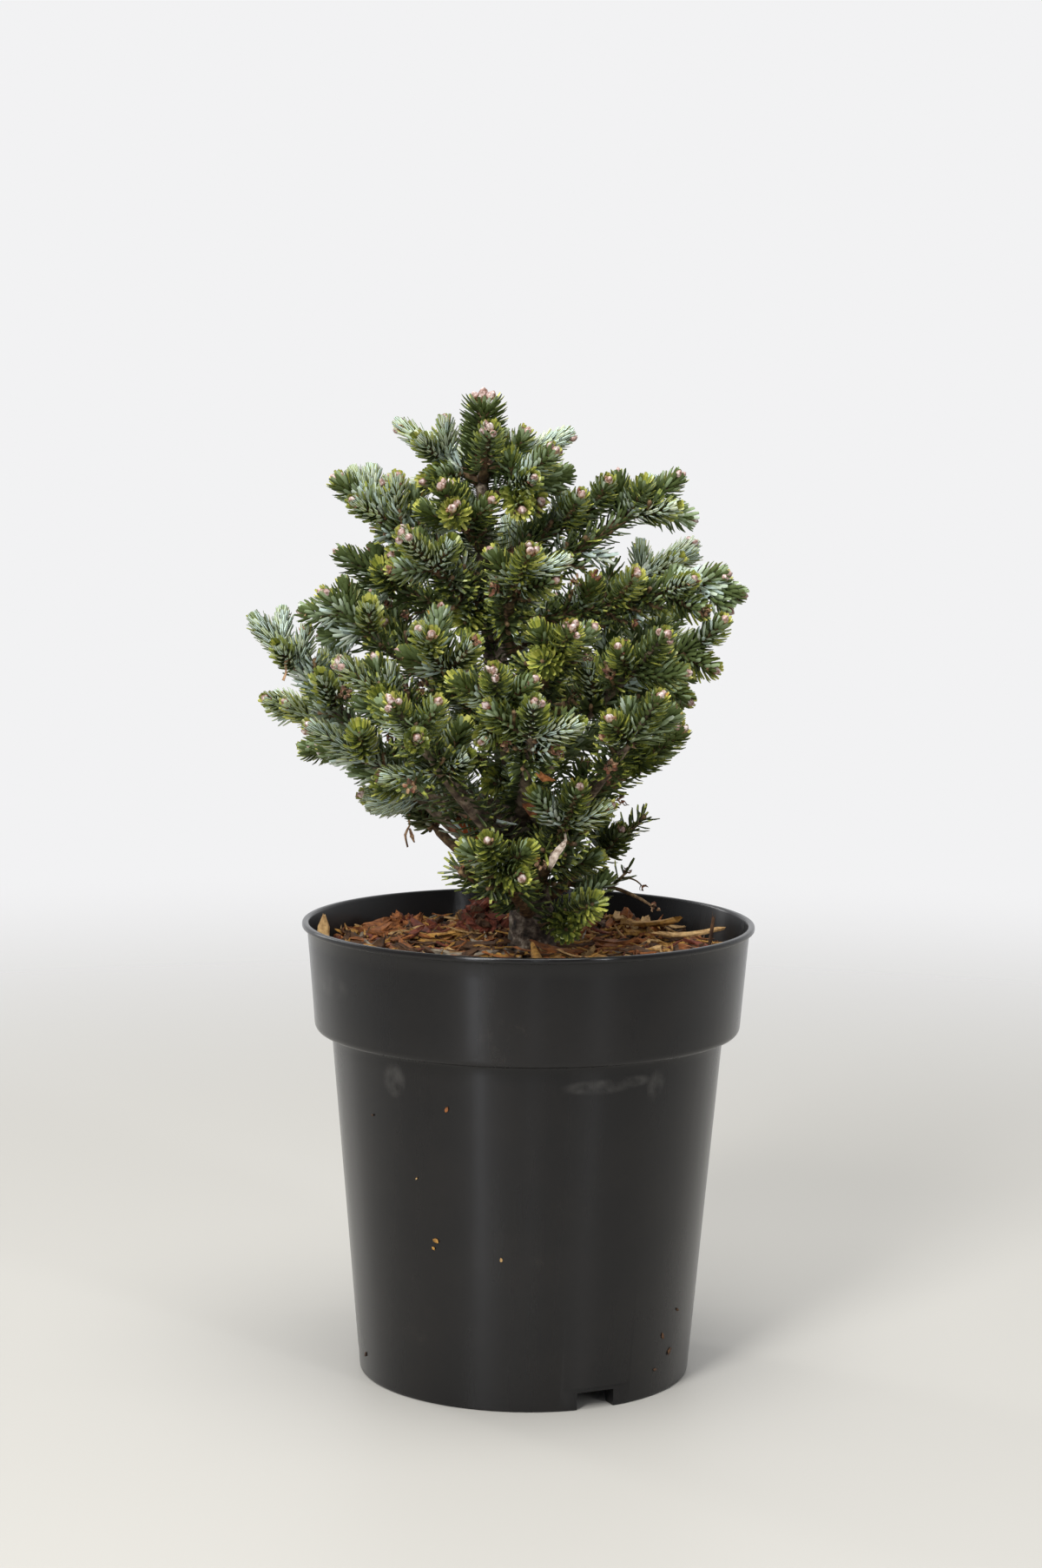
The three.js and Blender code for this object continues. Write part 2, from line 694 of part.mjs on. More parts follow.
// The bark mulch lies in a gently uneven surface with some chips lying on it.
function soilGeometry() {
  const random = randomStream(5);
  const surface = SOIL_TOP - SOIL_RELIEF / 2;
  // radius, height and relief of each ring, from the pot's floor up its wall and in to the trunk
  const rings = [
    [bodyRadius(FLOOR_TOP) - WALL - GAP, FLOOR_TOP + GAP, 0],
    [bodyRadius(COLLAR_FOOT) - WALL - SOIL_CLEAR, COLLAR_FOOT + 2, 0],
    [COLLAR_FOOT_RADIUS - 2 * WALL - SOIL_CLEAR, COLLAR_FOOT + 5, 0],
    [SOIL_RADIUS, surface, SOIL_RELIEF],
    [SOIL_RADIUS * 0.78, surface, SOIL_RELIEF],
    [SOIL_RADIUS * 0.56, surface, SOIL_RELIEF],
    [SOIL_RADIUS * 0.32, surface, 0],
  ];
  const points = [vec(0, 0, FLOOR_TOP + GAP), vec(0, 0, surface)];
  for (const [radius, height, relief] of rings) {
    for (let j = 0; j < SOIL_SIDES; j++) {
      const angle = (j / SOIL_SIDES) * 2 * Math.PI;
      const z = height + relief * (random() - 0.5);
      points.push(vec(radius * Math.cos(angle), radius * Math.sin(angle), z));
    }
  }
  const triangles = [];
  for (let j = 0; j < SOIL_SIDES; j++) {
    const next = (j + 1) % SOIL_SIDES;
    const first = 2;
    const last = 2 + (rings.length - 1) * SOIL_SIDES;
    triangles.push([0, first + next, first + j], [1, last + j, last + next]);
    for (let i = first; i < last; i += SOIL_SIDES) {
      const above = i + SOIL_SIDES;
      triangles.push([i + j, i + next, above + next], [i + j, above + next, above + j]);
    }
  }
  const chips = [];
  for (let i = 0; i < MULCH_CHIPS; i++) {
    const angle = (i + 0.7 * random()) * 2.4;
    const out = 22 + 45 * Math.sqrt((i + 0.5) / MULCH_CHIPS);
    const chip = new THREE.BoxGeometry(8 + 8 * random(), 5 + 4 * random(), CHIP_THICKNESS);
    chip.rotateX((random() - 0.5) * 0.4).rotateY((random() - 0.5) * 0.4).rotateZ(random() * 6);
    chip.translate(out * Math.cos(angle), out * Math.sin(angle), SOIL_TOP + 0.6);
    chips.push(chip);
  }
  return joinAll([closedGeometry(points, triangles), ...chips]);
}

// ---------------------------------------------------------------- the scene graph

const group = new THREE.Group();
group.name = "potted_korean_fir";

function addMesh(name, geometry, [colour, roughness]) {
  const material = new THREE.MeshStandardMaterial({ color: colour, roughness, metalness: 0 });
  const mesh = new THREE.Mesh(geometry, material);
  mesh.name = name;
  group.add(mesh);
}

addMesh("pot", potGeometry(), COLOURS.pot);
addMesh("soil", soilGeometry(), COLOURS.soil);
addMesh("trunk", trunkGeometry(), COLOURS.trunk);
for (const branch of branches) {
  if (branch.limb) addMesh(`bough_${branch.name}`, limbOf(branch), COLOURS.limb);
  addMesh(`foliage_${branch.name}`, foliageGeometry(branch), COLOURS.foliage);
}
const leaderLine = evenLine(leaderFoot.clone().addScaledVector(UP, GAP), leaderTop);
const leader = shootGeometry(LEADER, 0, leaderLine, { stemRadius: LEADER_RADIUS });
addMesh("foliage_leader", joinAll([leader]), COLOURS.foliage);

export default group;
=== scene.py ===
"""A young Korean fir in a round black nursery pot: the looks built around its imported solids.

The plant is grown again here by the rule of the solids' source, in millimetres, and carried on to
finer twigs, needles, buds and bark. Every mesh is written in metres, in the frame's own axes.
"""
import math

import bpy
import numpy as np
from mathutils import Euler, Matrix, Vector, noise


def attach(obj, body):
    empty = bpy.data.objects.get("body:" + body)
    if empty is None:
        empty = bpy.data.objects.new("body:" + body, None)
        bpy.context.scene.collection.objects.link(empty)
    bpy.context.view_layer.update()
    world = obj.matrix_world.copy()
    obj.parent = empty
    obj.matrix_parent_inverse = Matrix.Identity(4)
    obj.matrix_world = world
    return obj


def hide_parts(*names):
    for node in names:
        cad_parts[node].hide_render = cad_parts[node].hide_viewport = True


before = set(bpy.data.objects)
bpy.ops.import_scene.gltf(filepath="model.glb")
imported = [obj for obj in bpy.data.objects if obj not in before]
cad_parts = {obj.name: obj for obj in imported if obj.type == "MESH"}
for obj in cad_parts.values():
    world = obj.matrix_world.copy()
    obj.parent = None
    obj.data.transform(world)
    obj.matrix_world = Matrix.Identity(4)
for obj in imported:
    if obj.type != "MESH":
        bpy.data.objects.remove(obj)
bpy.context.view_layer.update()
MM = 0.001


# ---------------------------------------------------------------- driving dimensions (mm, degrees)

POT_HEIGHT = 168.2
LIP_RADIUS = 83.7
LIP_HEIGHT = 2.2
COLLAR_TOP_RADIUS = 81.8
COLLAR_FOOT_RADIUS = 78.8
COLLAR_FOOT = 128.0
BODY_TOP_RADIUS = 72.6
FOOT_RADIUS = 61.5
WALL = 1.6
FLOOR_RISE = 5.0
FLOOR_TOP = 7.0
FOOT_RING_WIDTH = 8.0
CENTRE_FOOT_RADIUS = 16.0
DRAIN_BEARINGS = (24.5, 144.5, 264.5)
DRAIN_NICHE = (28.0, 8.2, 0.9)  # width, height, depth
DRAIN_HOLE = (14.5, -1.0, 6.2)  # width, foot, top
SOIL_TOP = 155.6

TRUNK_FOOT = 156.0
TRUNK_TIP = 338.0
TRUNK_FOOT_X = 2.0
TRUNK_LEAN = 20.5
TRUNK_LEAN_TOP = 330.0
TRUNK_BOW = 2.5
TRUNK_FOOT_RADIUS = 8.7
TRUNK_TAPER = 6.4
FLARE = 2.8
FLARE_HEIGHT = 6.0

GAP = 0.35  # from the trunk to where a branch comes free of it
CURVE_STEPS = 24
TWIG_RADIUS = 1.25
LIMB_THICKENING = 0.022
SHOOT_CORE = 2.5
SHOOT_SPACE = 2 * SHOOT_CORE + 1.8  # between the lines of two shoots
TWIG_SPACE = 5.2  # the same for the finer twigs
LIMB_SPACE = SHOOT_CORE + 1.2  # from a limb's skin to a shoot's line
SHOOT_OFF_SOIL = 14
SHOOT_OFF_TRUNK = 3
TIP_OFF_TRUNK = 6
RIM_SPACE = 3  # above the pot's lip, for a shoot that reaches past the mulch
MULCH_REACH = 60
STEM_STEP = 14.0
BAND = 7.4
BUD_LENGTH = 4.0
LEADER_LENGTH = 21.0
LIMB_STEPS = 8
UP = np.array([0, 0, 1.0])

# What is tried for a side shoot in turn: more roll, more spread, and the share of its length.
TRIES = [(0, 0, 1), (24, 0, 1), (-24, 0, 1), (0, -12, 0.9), (40, 5, 0.8), (-40, 5, 0.8), (0, 12, 0.7)]

# Each branch: name, height where it leaves the trunk, bearing (0 is +X, -90 the front), reach,
# height of its tip, growth joints that bear side shoots, 1 where it has a limb of its own, seed.
BRANCHES = [
    ("skirt_front", 170, -102, 80, 208, 1, 0, 3),
    ("skirt_front_right", 177, -74, 58, 224, 1, 0, 8),
    ("skirt_low_right", 166, -60, 44, 181, 1, 0, 12),
    ("skirt_right", 173, 5, 44, 209, 1, 0, 11),
    ("skirt_back", 172, 110, 64, 207, 1, 0, 3),
    ("skirt_left", 172, 158, 55, 215, 1, 0, 5),
    ("low_left", 181, -177, 101, 279, 2, 1, 14),
    ("low_left_back", 206, 160, 96, 247, 1, 1, 11),
    ("low_left_front", 200, -155, 84, 243, 1, 1, 7),
    ("low_front_left", 189, -120, 95, 256, 2, 1, 19),
    ("low_front", 204, -88, 90, 257, 1, 1, 10),
    ("low_front_right", 190, -56, 80, 257, 1, 1, 11),
    ("low_right", 199, -28, 64, 242, 1, 0, 5),
    ("low_right_back", 186, 29, 65, 254, 2, 1, 10),
    ("low_back", 196, 76, 84, 250, 2, 1, 16),
    ("low_back_left", 184, 125, 88, 250, 2, 1, 3),
    ("middle_left_front", 220, -146, 75, 266, 1, 0, 1),
    ("middle_left", 240, -163, 69, 289, 1, 1, 9),
    ("middle_front_left", 232, -118, 68, 279, 1, 0, 2),
    ("middle_front", 216, -96, 84, 267, 2, 1, 11),
    ("middle_front_right", 239, -73, 75, 281, 1, 0, 3),
    ("middle_right", 223, -47, 77, 278, 2, 1, 2),
    ("middle_right_side", 240, -6, 74, 274, 1, 0, 8),
    ("middle_right_back", 229, 36, 80, 281, 2, 0, 7),
    ("middle_back", 221, 78, 78, 282, 2, 1, 2),
    ("middle_back_left", 232, 136, 78, 287, 2, 1, 15),
    ("upper_left", 276, 178, 56, 303, 1, 0, 2),
    ("upper_left_high", 293, -174, 55, 330, 1, 0, 11),
    ("upper_front_left", 281, -122, 58, 312, 1, 0, 0),
    ("upper_front", 272, -79, 64, 307, 1, 0, 6),
    ("upper_right", 276, -5, 85, 297, 2, 0, 16),
    ("upper_right_high", 286, 0, 69, 332, 1, 0, 3),
    ("upper_back_right", 267, 23, 80, 306, 1, 0, 15),
    ("upper_back", 276, 83, 60, 314, 2, 0, 16),
    ("upper_back_left", 285, 139, 58, 318, 1, 0, 8),
    ("high_right", 299, 5, 48, 327, 1, 0, 15),
    ("high_front_left", 304, -117, 34, 328, 1, 0, 19),
    ("top_left", 329, 176, 30, 350, 1, 0, 3),
    ("top_front", 330, -84, 23, 349, 0, 0, 0),
    ("top_front_right", 322, -33, 30, 341, 1, 0, 1),
    ("top_right", 333, 20, 33, 347, 0, 0, 0),
    ("top_back", 326, 100, 30, 348, 1, 0, 10),
]


# ---------------------------------------------------------------- the source's growing rule

def random_stream(seed):
    """The same repeatable numbers from 0 to 1 that the solids were grown with."""
    state = seed
    while True:
        state = (state + 0x6D2B79F5) & 0xFFFFFFFF
        t = ((state ^ (state >> 15)) * (state | 1)) & 0xFFFFFFFF
        t ^= (t + (t ^ (t >> 7)) * (t | 61)) & 0xFFFFFFFF
        yield (t ^ (t >> 14)) / 4294967296


def unit(v):
    return v / np.linalg.norm(v, axis=-1, keepdims=True)


def way_to(bearing, rise=0):
    """The unit vector at a bearing and a rise in degrees."""
    bearing, rise = math.radians(bearing), math.radians(rise)
    level = math.cos(rise)
    return np.array([level * math.cos(bearing), level * math.sin(bearing), math.sin(rise)])


def trunk_point(z):
    t = np.clip((z - TRUNK_FOOT) / (TRUNK_LEAN_TOP - TRUNK_FOOT), 0, 1)
    eased = (t * t * (3 - 2 * t)) ** 0.8
    return np.stack([TRUNK_FOOT_X - TRUNK_LEAN * eased, TRUNK_BOW * np.sin(np.pi * t), z + 0 * t], -1)


def trunk_radius(z):
    t = np.maximum(0, (z - TRUNK_FOOT) / (TRUNK_LEAN_TOP - TRUNK_FOOT))
    flare = FLARE * np.exp((TRUNK_FOOT - z) / FLARE_HEIGHT)
    return TRUNK_FOOT_RADIUS - TRUNK_TAPER * t**0.9 + flare


def distance_from_trunk(p):
    z = np.clip(p[..., 2], TRUNK_FOOT, TRUNK_TIP)
    across = np.linalg.norm((p - trunk_point(z))[..., :2], axis=-1)
    return np.hypot(np.maximum(0, across - trunk_radius(z)), p[..., 2] - z)


def limb_radius(from_tip):
    return TWIG_RADIUS + LIMB_THICKENING * from_tip


def segment_distances(a, b, c, d):
    """Distances from the segment a-b to each segment c-d."""
    u, v, w = b - a, d - c, a - c
    uu, uv, vv, uw, vw = u @ u, v @ u, (v * v).sum(1), w @ u, (v * w).sum(1)
    det = uu * vv - uv * uv
    s = np.where(det > 1e-9, np.clip((uv * vw - vv * uw) / np.maximum(det, 1e-9), 0, 1), 0.5)
    t = np.clip((uv * s + vw) / vv, 0, 1)
    s = np.clip((uv * t - uw) / uu, 0, 1)
    return np.linalg.norm(w + s[:, None] * u - t[:, None] * v, axis=1)


class Branch:
    """One branch: its curve by length from the tip, and where its growth joints and foliage begin."""

    def __init__(self, number, row):
        self.name, foot, bearing, reach, tip_height, self.joints, self.limb, seed = row
        self.number = number
        start, out, rise = trunk_point(np.float64(foot)), way_to(bearing), tip_height - foot
        middle = start + out * reach * 0.5 + UP * rise * 0.4
        tip = start + out * reach + UP * rise
        t = 1 - np.arange(CURVE_STEPS + 1)[:, None] / CURVE_STEPS
        self.points = start * (1 - t) ** 2 + middle * 2 * t * (1 - t) + tip * t * t
        steps = np.linalg.norm(np.diff(self.points, axis=0), axis=1)
        self.lengths = np.concatenate([[0], np.cumsum(steps)])
        self.length = self.lengths[-1]
        self.random = random_stream(1000 + number * 77 + seed).__next__
        self.sides, self.twigs = [], []
        self.plan()

    def point(self, from_tip):
        i = int(np.clip(np.searchsorted(self.lengths, from_tip), 1, CURVE_STEPS))
        part = (from_tip - self.lengths[i - 1]) / (self.lengths[i] - self.lengths[i - 1])
        return self.points[i - 1] + (self.points[i] - self.points[i - 1]) * part

    def way(self, from_tip):
        ahead = max(0, from_tip - 1)
        return unit(self.point(ahead) - self.point(ahead + 2))

    def plan(self):
        self.exit = self.length
        while distance_from_trunk(self.point(self.exit)) < GAP:
            self.exit -= 0.25
        first = min(21 + 4 * self.random(), self.exit * 0.62)
        second = first + 18 + 4 * self.random()
        self.joints_at = [first, second][: self.joints]
        clad = second + 9 if self.joints == 2 else first + 20
        self.clad = min(clad, self.exit - 10)
        self.entry = self.clad if self.limb else self.exit

    def spine(self):
        """The stations of the solid: bare stem down to where it is clad, then bands to the tip."""
        stems = 0 if self.limb else math.ceil((self.entry - self.clad) / STEM_STEP)
        stations = [self.entry + (self.clad - self.entry) * i / stems for i in range(stems)]
        bands = max(2, math.floor((self.clad - BUD_LENGTH) / BAND + 0.5))
        return stations + [self.clad + (BUD_LENGTH - self.clad) * i / bands for i in range(bands + 1)]


class Crown:
    """All branches with their side shoots, each shoot keeping clear of what grew before it."""

    def __init__(self):
        self.branches = [Branch(number, row) for number, row in enumerate(BRANCHES)]
        self.lines, self.limbs = [], []
        for branch in self.branches:
            self.note(branch.number, [branch.point(s) for s in branch.spine()])
            for i in range(LIMB_STEPS if branch.limb else 0):
                inner = branch.length - branch.entry
                near, far = (branch.entry + inner * k / LIMB_STEPS for k in (i, i + 1))
                self.limbs.append((branch.point(near), branch.point(far), limb_radius(far)))
        foot = trunk_point(np.float64(TRUNK_TIP))
        self.leader = (foot, foot + UP * LEADER_LENGTH)
        self.note(len(self.branches), self.leader)
        for joint in (0, 1):
            for branch in self.branches:
                if joint < branch.joints:
                    self.grow_sides(branch, joint)

    def note(self, owner, points):
        self.lines += [(owner, a, b) for a, b in zip(points[:-1], points[1:])]

    def room(self, owner, a, b, keep=SHOOT_SPACE):
        """Whether a shoot from a to b is clear of the pot, the trunk, the limbs and other shoots."""
        near = a + (b - a) * 0.35
        past_mulch = math.hypot(b[0], b[1]) > MULCH_REACH
        if b[2] < SOIL_TOP + SHOOT_OFF_SOIL or past_mulch and b[2] < POT_HEIGHT + RIM_SPACE:
            return False
        if distance_from_trunk(near) < SHOOT_OFF_TRUNK or distance_from_trunk(b) < TIP_OFF_TRUNK:
            return False
        limb_a, limb_b, radii = (np.array(part) for part in zip(*self.limbs))
        if (segment_distances(near, b, limb_a, limb_b) < radii + LIMB_SPACE).any():
            return False
        owners, line_a, line_b = (np.array(part) for part in zip(*self.lines))
        own = owners == owner
        clear_of_own = segment_distances(a + (b - a) * 0.7, b, line_a[own], line_b[own]) > keep
        clear_of_rest = segment_distances(near, b, line_a[~own], line_b[~own]) > keep
        return bool(clear_of_own.all() and clear_of_rest.all())

    def grow_sides(self, branch, joint):
        """Up to three side shoots from a growth joint, each turned or shortened until it has room."""
        random = branch.random
        from_tip = branch.joints_at[joint]
        root, way = branch.point(from_tip), branch.way(from_tip)
        side = unit(np.cross(way, UP))
        top = np.cross(side, way)
        roll = (random() - 0.5) * 110
        for turn in (0, 180, 90):
            spread = (36 if turn == 90 else 46) + 12 * random()
            length = (20 if joint else 15.5) + 5 * random()
            wanted = turn != 90 or random() < 0.45
            for more_roll, more_spread, scale in TRIES if wanted else []:
                around = math.radians(roll + turn + (-more_roll if turn == 180 else more_roll))
                spread_now = math.radians(spread + more_spread)
                across = side * math.cos(around) + top * math.sin(around)
                direction = way * math.cos(spread_now) + across * math.sin(spread_now)
                direction[2] += 0.12
                if self.add_shoot(branch, branch.sides, root, root + unit(direction) * length * scale):
                    break

    def add_shoot(self, branch, shoots, root, tip, **keep):
        fits = tip[2] < branch.points[0][2] and self.room(branch.number, root, tip, **keep)
        if fits:
            shoots.append((root, tip))
            self.note(branch.number, [root, tip])
        return fits

    def grow_twigs(self, rng):
        """Finer twigs than the solids have: on older wood, and half way along the longer side shoots."""
        for branch in self.branches:
            first = branch.joints_at[0] if branch.joints_at else branch.exit * 0.6
            for from_tip in np.arange(first + 9, branch.exit - 4, 7.5):
                for _ in range(2):
                    length = rng.uniform(10, 15)
                    self.try_twig(branch, branch.point(from_tip), branch.way(from_tip), length, rng)
            for root, tip in list(branch.sides):
                length = np.linalg.norm(tip - root)
                if length > 15:
                    self.try_twig(branch, root + (tip - root) * 0.42, unit(tip - root), length * 0.5, rng)

    def try_twig(self, branch, root, way, length, rng):
        end = branch.points[0]
        start = branch.points[-1]
        for _ in range(7):
            side = unit(np.cross(way, rng.normal(size=3)))
            tip = root + unit(way * 0.62 + side * 0.78 + UP * 0.15) * length
            inside = math.hypot(*(tip - start)[:2]) < math.hypot(*(end - start)[:2])
            if inside and self.add_shoot(branch, branch.twigs, root, tip, keep=TWIG_SPACE):
                return


# ---------------------------------------------------------------- lines that shoots follow

def bezier(a, b, c, count):
    """Points from a to c, along the curve that b pulls towards itself."""
    t = np.linspace(0, 1, count)[:, None]
    return (1 - t) ** 2 * a + 2 * t * (1 - t) * b + t * t * c


def smooth_line(points, count):
    """A smooth line through points."""
    fine = np.linspace(0, len(points) - 1, count)
    index = np.clip(fine.astype(int), 0, len(points) - 2)
    slopes = np.gradient(points, axis=0)
    h = (fine - index)[:, None]
    a, b, leaving, reaching = points[index], points[index + 1], slopes[index], slopes[index + 1]
    ends = a * (2 * h**3 - 3 * h**2 + 1) + b * (3 * h**2 - 2 * h**3)
    return ends + leaving * (h**3 - 2 * h**2 + h) + reaching * (h**3 - h**2)


def frames_along(points):
    """Ways and cross directions along a line, each turned as little as possible from the last."""
    ahead = np.concatenate([points[1:], points[-1:]])
    behind = np.concatenate([points[:1], points[:-1]])
    ways = unit(ahead - behind)
    across = np.cross(ways[0], [0, 1, 0] if abs(ways[0][2]) > 0.9 else [0, 0, 1])
    us = []
    for way in ways:
        across = unit(across - way * (across @ way))
        us.append(across)
    us = np.array(us)
    return ways, us, np.cross(ways, us)


def round_turns(sides):
    return np.arange(sides) / sides * 2 * np.pi


def spokes(way, turns):
    """Unit vectors square to a way, at angles about it."""
    _, us, vs = frames_along(np.array([0 * way, way]))
    return np.multiply.outer(np.cos(turns), us[0]) + np.multiply.outer(np.sin(turns), vs[0])


# ---------------------------------------------------------------- meshes

class Heap:
    """Shapes of one kind gathered into one mesh: points in mm, faces and their material numbers."""

    def __init__(self):
        self.points, self.count = [], 0
        self.faces = {4: [], 3: []}

    def add(self, points, quads, kinds=0, triangles=()):
        for faces in (quads, triangles):
            if len(faces):
                faces = np.asarray(faces) + self.count
                self.faces[faces.shape[1]].append((faces, np.broadcast_to(kinds, len(faces))))
        self.points.append(points)
        self.count += len(points)

    def build(self, name, materials, smooth=True):
        faces, kinds = zip(*self.faces[4], *self.faces[3])
        corners = np.concatenate([f.ravel() for f in faces]).astype(np.int32)
        sizes = np.concatenate([np.full(len(f), f.shape[1], np.int32) for f in faces])
        points = np.concatenate(self.points) * MM
        mesh = bpy.data.meshes.new(name)
        mesh.vertices.add(len(points))
        mesh.vertices.foreach_set("co", points.astype(np.float32).ravel())
        mesh.loops.add(len(corners))
        mesh.loops.foreach_set("vertex_index", corners)
        mesh.polygons.add(len(sizes))
        mesh.polygons.foreach_set("loop_start", (np.cumsum(sizes) - sizes).astype(np.int32))
        mesh.polygons.foreach_set("loop_total", sizes)
        mesh.polygons.foreach_set("material_index", np.concatenate(kinds).astype(np.int32))
        mesh.update(calc_edges=True)
        mesh.polygons.foreach_set("use_smooth", np.full(len(sizes), smooth))
        for material in materials:
            mesh.materials.append(material)
        piece = bpy.data.objects.new(name, mesh)
        bpy.context.scene.collection.objects.link(piece)
        return piece


def tube_faces(rings, sides):
    """Quads between rings of points, and the triangles that close the tube to two more points."""
    j = np.arange(sides)
    following = (j + 1) % sides
    starts = np.arange(rings - 1)[:, None] * sides
    corners = (starts + j, starts + following, starts + sides + following, starts + sides + j)
    foot, tip, top = rings * sides, rings * sides + 1, (rings - 1) * sides
    closing = [(np.full(sides, foot), following, j), (np.full(sides, tip), top + j, top + following)]
    triangles = np.concatenate([np.stack(corner, 1) for corner in closing])
    return np.stack(corners, -1).reshape(-1, 4), triangles


def bark_heights(points):
    """The bark's relief at each point, for a depth of 1."""
    coarse, fine = (0.16, 0.16, 0.5), (0.7, 0.7, 1.6)
    heights = [noise.noise(p * coarse) + 0.6 * noise.noise(p * fine) for p in points.reshape(-1, 3)]
    return np.array(heights).reshape(points.shape[:-1])


def tube(heap, line, outward, radii, kind, relief):
    """A closed tube from its middle line, the ways that its skin looks, its radii and its bark's depth."""
    points = line[:, None] + outward * radii[..., None]
    if relief:
        points += outward * relief * bark_heights(points)[..., None]
    quads, triangles = tube_faces(*points.shape[:2])
    heap.add(np.concatenate([points.reshape(-1, 3), line[:1], line[-1:]]), quads, kind, triangles)


def swept_tube(heap, line, radii, sides, kind=0, relief=0.0):
    _, us, vs = frames_along(line)
    turns = round_turns(sides)[:, None]
    outward = us[:, None] * np.cos(turns) + vs[:, None] * np.sin(turns)
    tube(heap, line, outward, np.outer(radii, np.ones(sides)), kind, relief)


# ---------------------------------------------------------------- materials

def rgba(colour):
    """A screen colour, 0 to 255 a channel, as opaque linear light."""
    return *(c / 255 / 12.92 if c < 10.3 else ((c / 255 + 0.055) / 1.055) ** 2.4 for c in colour), 1


def put(tree, socket, value):
    """Sets a socket to a value, or links it to the output that it takes its value from."""
    if isinstance(value, bpy.types.NodeSocket):
        tree.links.new(value, socket)
    else:
        socket.default_value = value


def node(tree, kind, output, *values, operation=None, **named):
    """A new node's output. Its inputs are given in order or by name, with _ for a space."""
    made = tree.nodes.new("ShaderNode" + kind)
    if operation:
        made.operation = operation
    for socket, value in zip(made.inputs, values):
        put(tree, socket, value)
    for name, value in named.items():
        put(tree, made.inputs[name.replace("_", " ")], value)
    return made.outputs[output]


def node_material(name, roughness, colour=None, **sockets):
    material = bpy.data.materials.new(name)
    material.use_nodes = True
    shader = material.node_tree.nodes["Principled BSDF"]
    if colour:
        sockets["Base_Color"] = material.diffuse_color = rgba(colour)
    for socket, value in {"Roughness": roughness, **sockets}.items():
        shader.inputs[socket.replace("_", " ")].default_value = value
    return material, material.node_tree, shader


def pattern(tree, kind, output, scale, stretch=(1, 1, 1), **settings):
    """A pattern in the object's own metres; scale is in repeats per metre."""
    place = node(tree, "Mapping", "Vector", node(tree, "TexCoord", "Object"), Scale=stretch)
    return node(tree, kind, output, place, Scale=scale, **settings)


def grain(tree, scale, detail, stretch=(1, 1, 1), roughness=0.5):
    return pattern(tree, "TexNoise", "Fac", scale, stretch, Detail=detail, Roughness=roughness)


def ramp(tree, factor, *stops):
    """What a factor turns into: each stop is a place and a colour, or a place and a plain value."""
    made = tree.nodes.new("ShaderNodeValToRGB")
    elements = made.color_ramp.elements
    while len(elements) < len(stops):
        elements.new(0.5)
    for element, (place, colour) in zip(elements, stops):
        element.position = place
        element.color = rgba(colour) if isinstance(colour, tuple) else (colour, colour, colour, 1)
    put(tree, made.inputs["Fac"], factor)
    return made.outputs["Color"]


def times(tree, a, b):
    return node(tree, "Math", "Value", a, b, operation="MULTIPLY")


def laid_over(tree, colour, share, top_colour):
    return node(tree, "MixRGB", "Color", share, colour, rgba(top_colour))


def add_bump(tree, height, strength, distance):
    normal = node(tree, "Bump", "Normal", Strength=strength, Distance=distance, Height=height)
    put(tree, tree.nodes["Principled BSDF"].inputs["Normal"], normal)


def spot(tree, middle, width, tall):
    """1 inside a soft-edged spot, given in mm as its middle and half axes, and 0 outside."""
    here = node(tree, "TexCoord", "Object")
    away = node(tree, "VectorMath", "Vector", here, [c * MM for c in middle], operation="SUBTRACT")
    shrink = [1 / (half * MM) for half in (width, width, tall)]
    away = node(tree, "VectorMath", "Vector", away, shrink, operation="MULTIPLY")
    away = node(tree, "VectorMath", "Value", away, operation="LENGTH")
    return node(tree, "MapRange", "Result", away, SPOT_CORE, 1.0, 1.0, 0.0)


SPOT_CORE = 0.55  # the part of a spot's half axes within which it is whole
PEELED_BARK = ((-21.0, -5.0, 200.0), 10, 12)

# Dull smears on the pot: bearing from the front and height of the middle, half width, half height.
SMUDGES = [(-42, 119, 6, 7), (20, 120, 15, 3), (40, 118, 6, 7), (31, 121, 8, 2.5), (-63, 150, 16, 6)]

LIMB_BARK = [(0.30, (44, 34, 27)), (0.44, (86, 70, 56)), (0.56, (126, 108, 88)), (0.70, (172, 156, 132))]
TRUNK_BARK = [(0.36, (30, 24, 19)), (0.47, (76, 63, 52)), (0.55, (122, 106, 90)), (0.64, (182, 168, 148))]
TWIG_BARK = [(0.32, (58, 42, 28)), (0.5, (104, 80, 52)), (0.68, (148, 122, 84))]
PEAT = [(0.35, (26, 16, 10)), (0.52, (58, 38, 24)), (0.70, (92, 62, 40))]

# Names, with each material's dark and light.
SCALE_COLOURS = [
    ("scale_rust", (84, 48, 32), (140, 88, 60)),
    ("scale_tan", (124, 90, 62), (182, 148, 112)),
    ("scale_brown", (64, 44, 32), (112, 82, 60)),
]
DRY_COLOURS = [
    ("dry_leaf_beige", (150, 128, 110), (222, 206, 190)),
    ("dry_shred_tan", (130, 92, 62), (204, 166, 128)),
    ("dry_leaf_orange", (150, 84, 40), (216, 144, 84)),
    ("dry_leaf_brown", (104, 56, 30), (168, 102, 60)),
    ("dry_needle", (176, 190, 180), (212, 222, 212)),
]


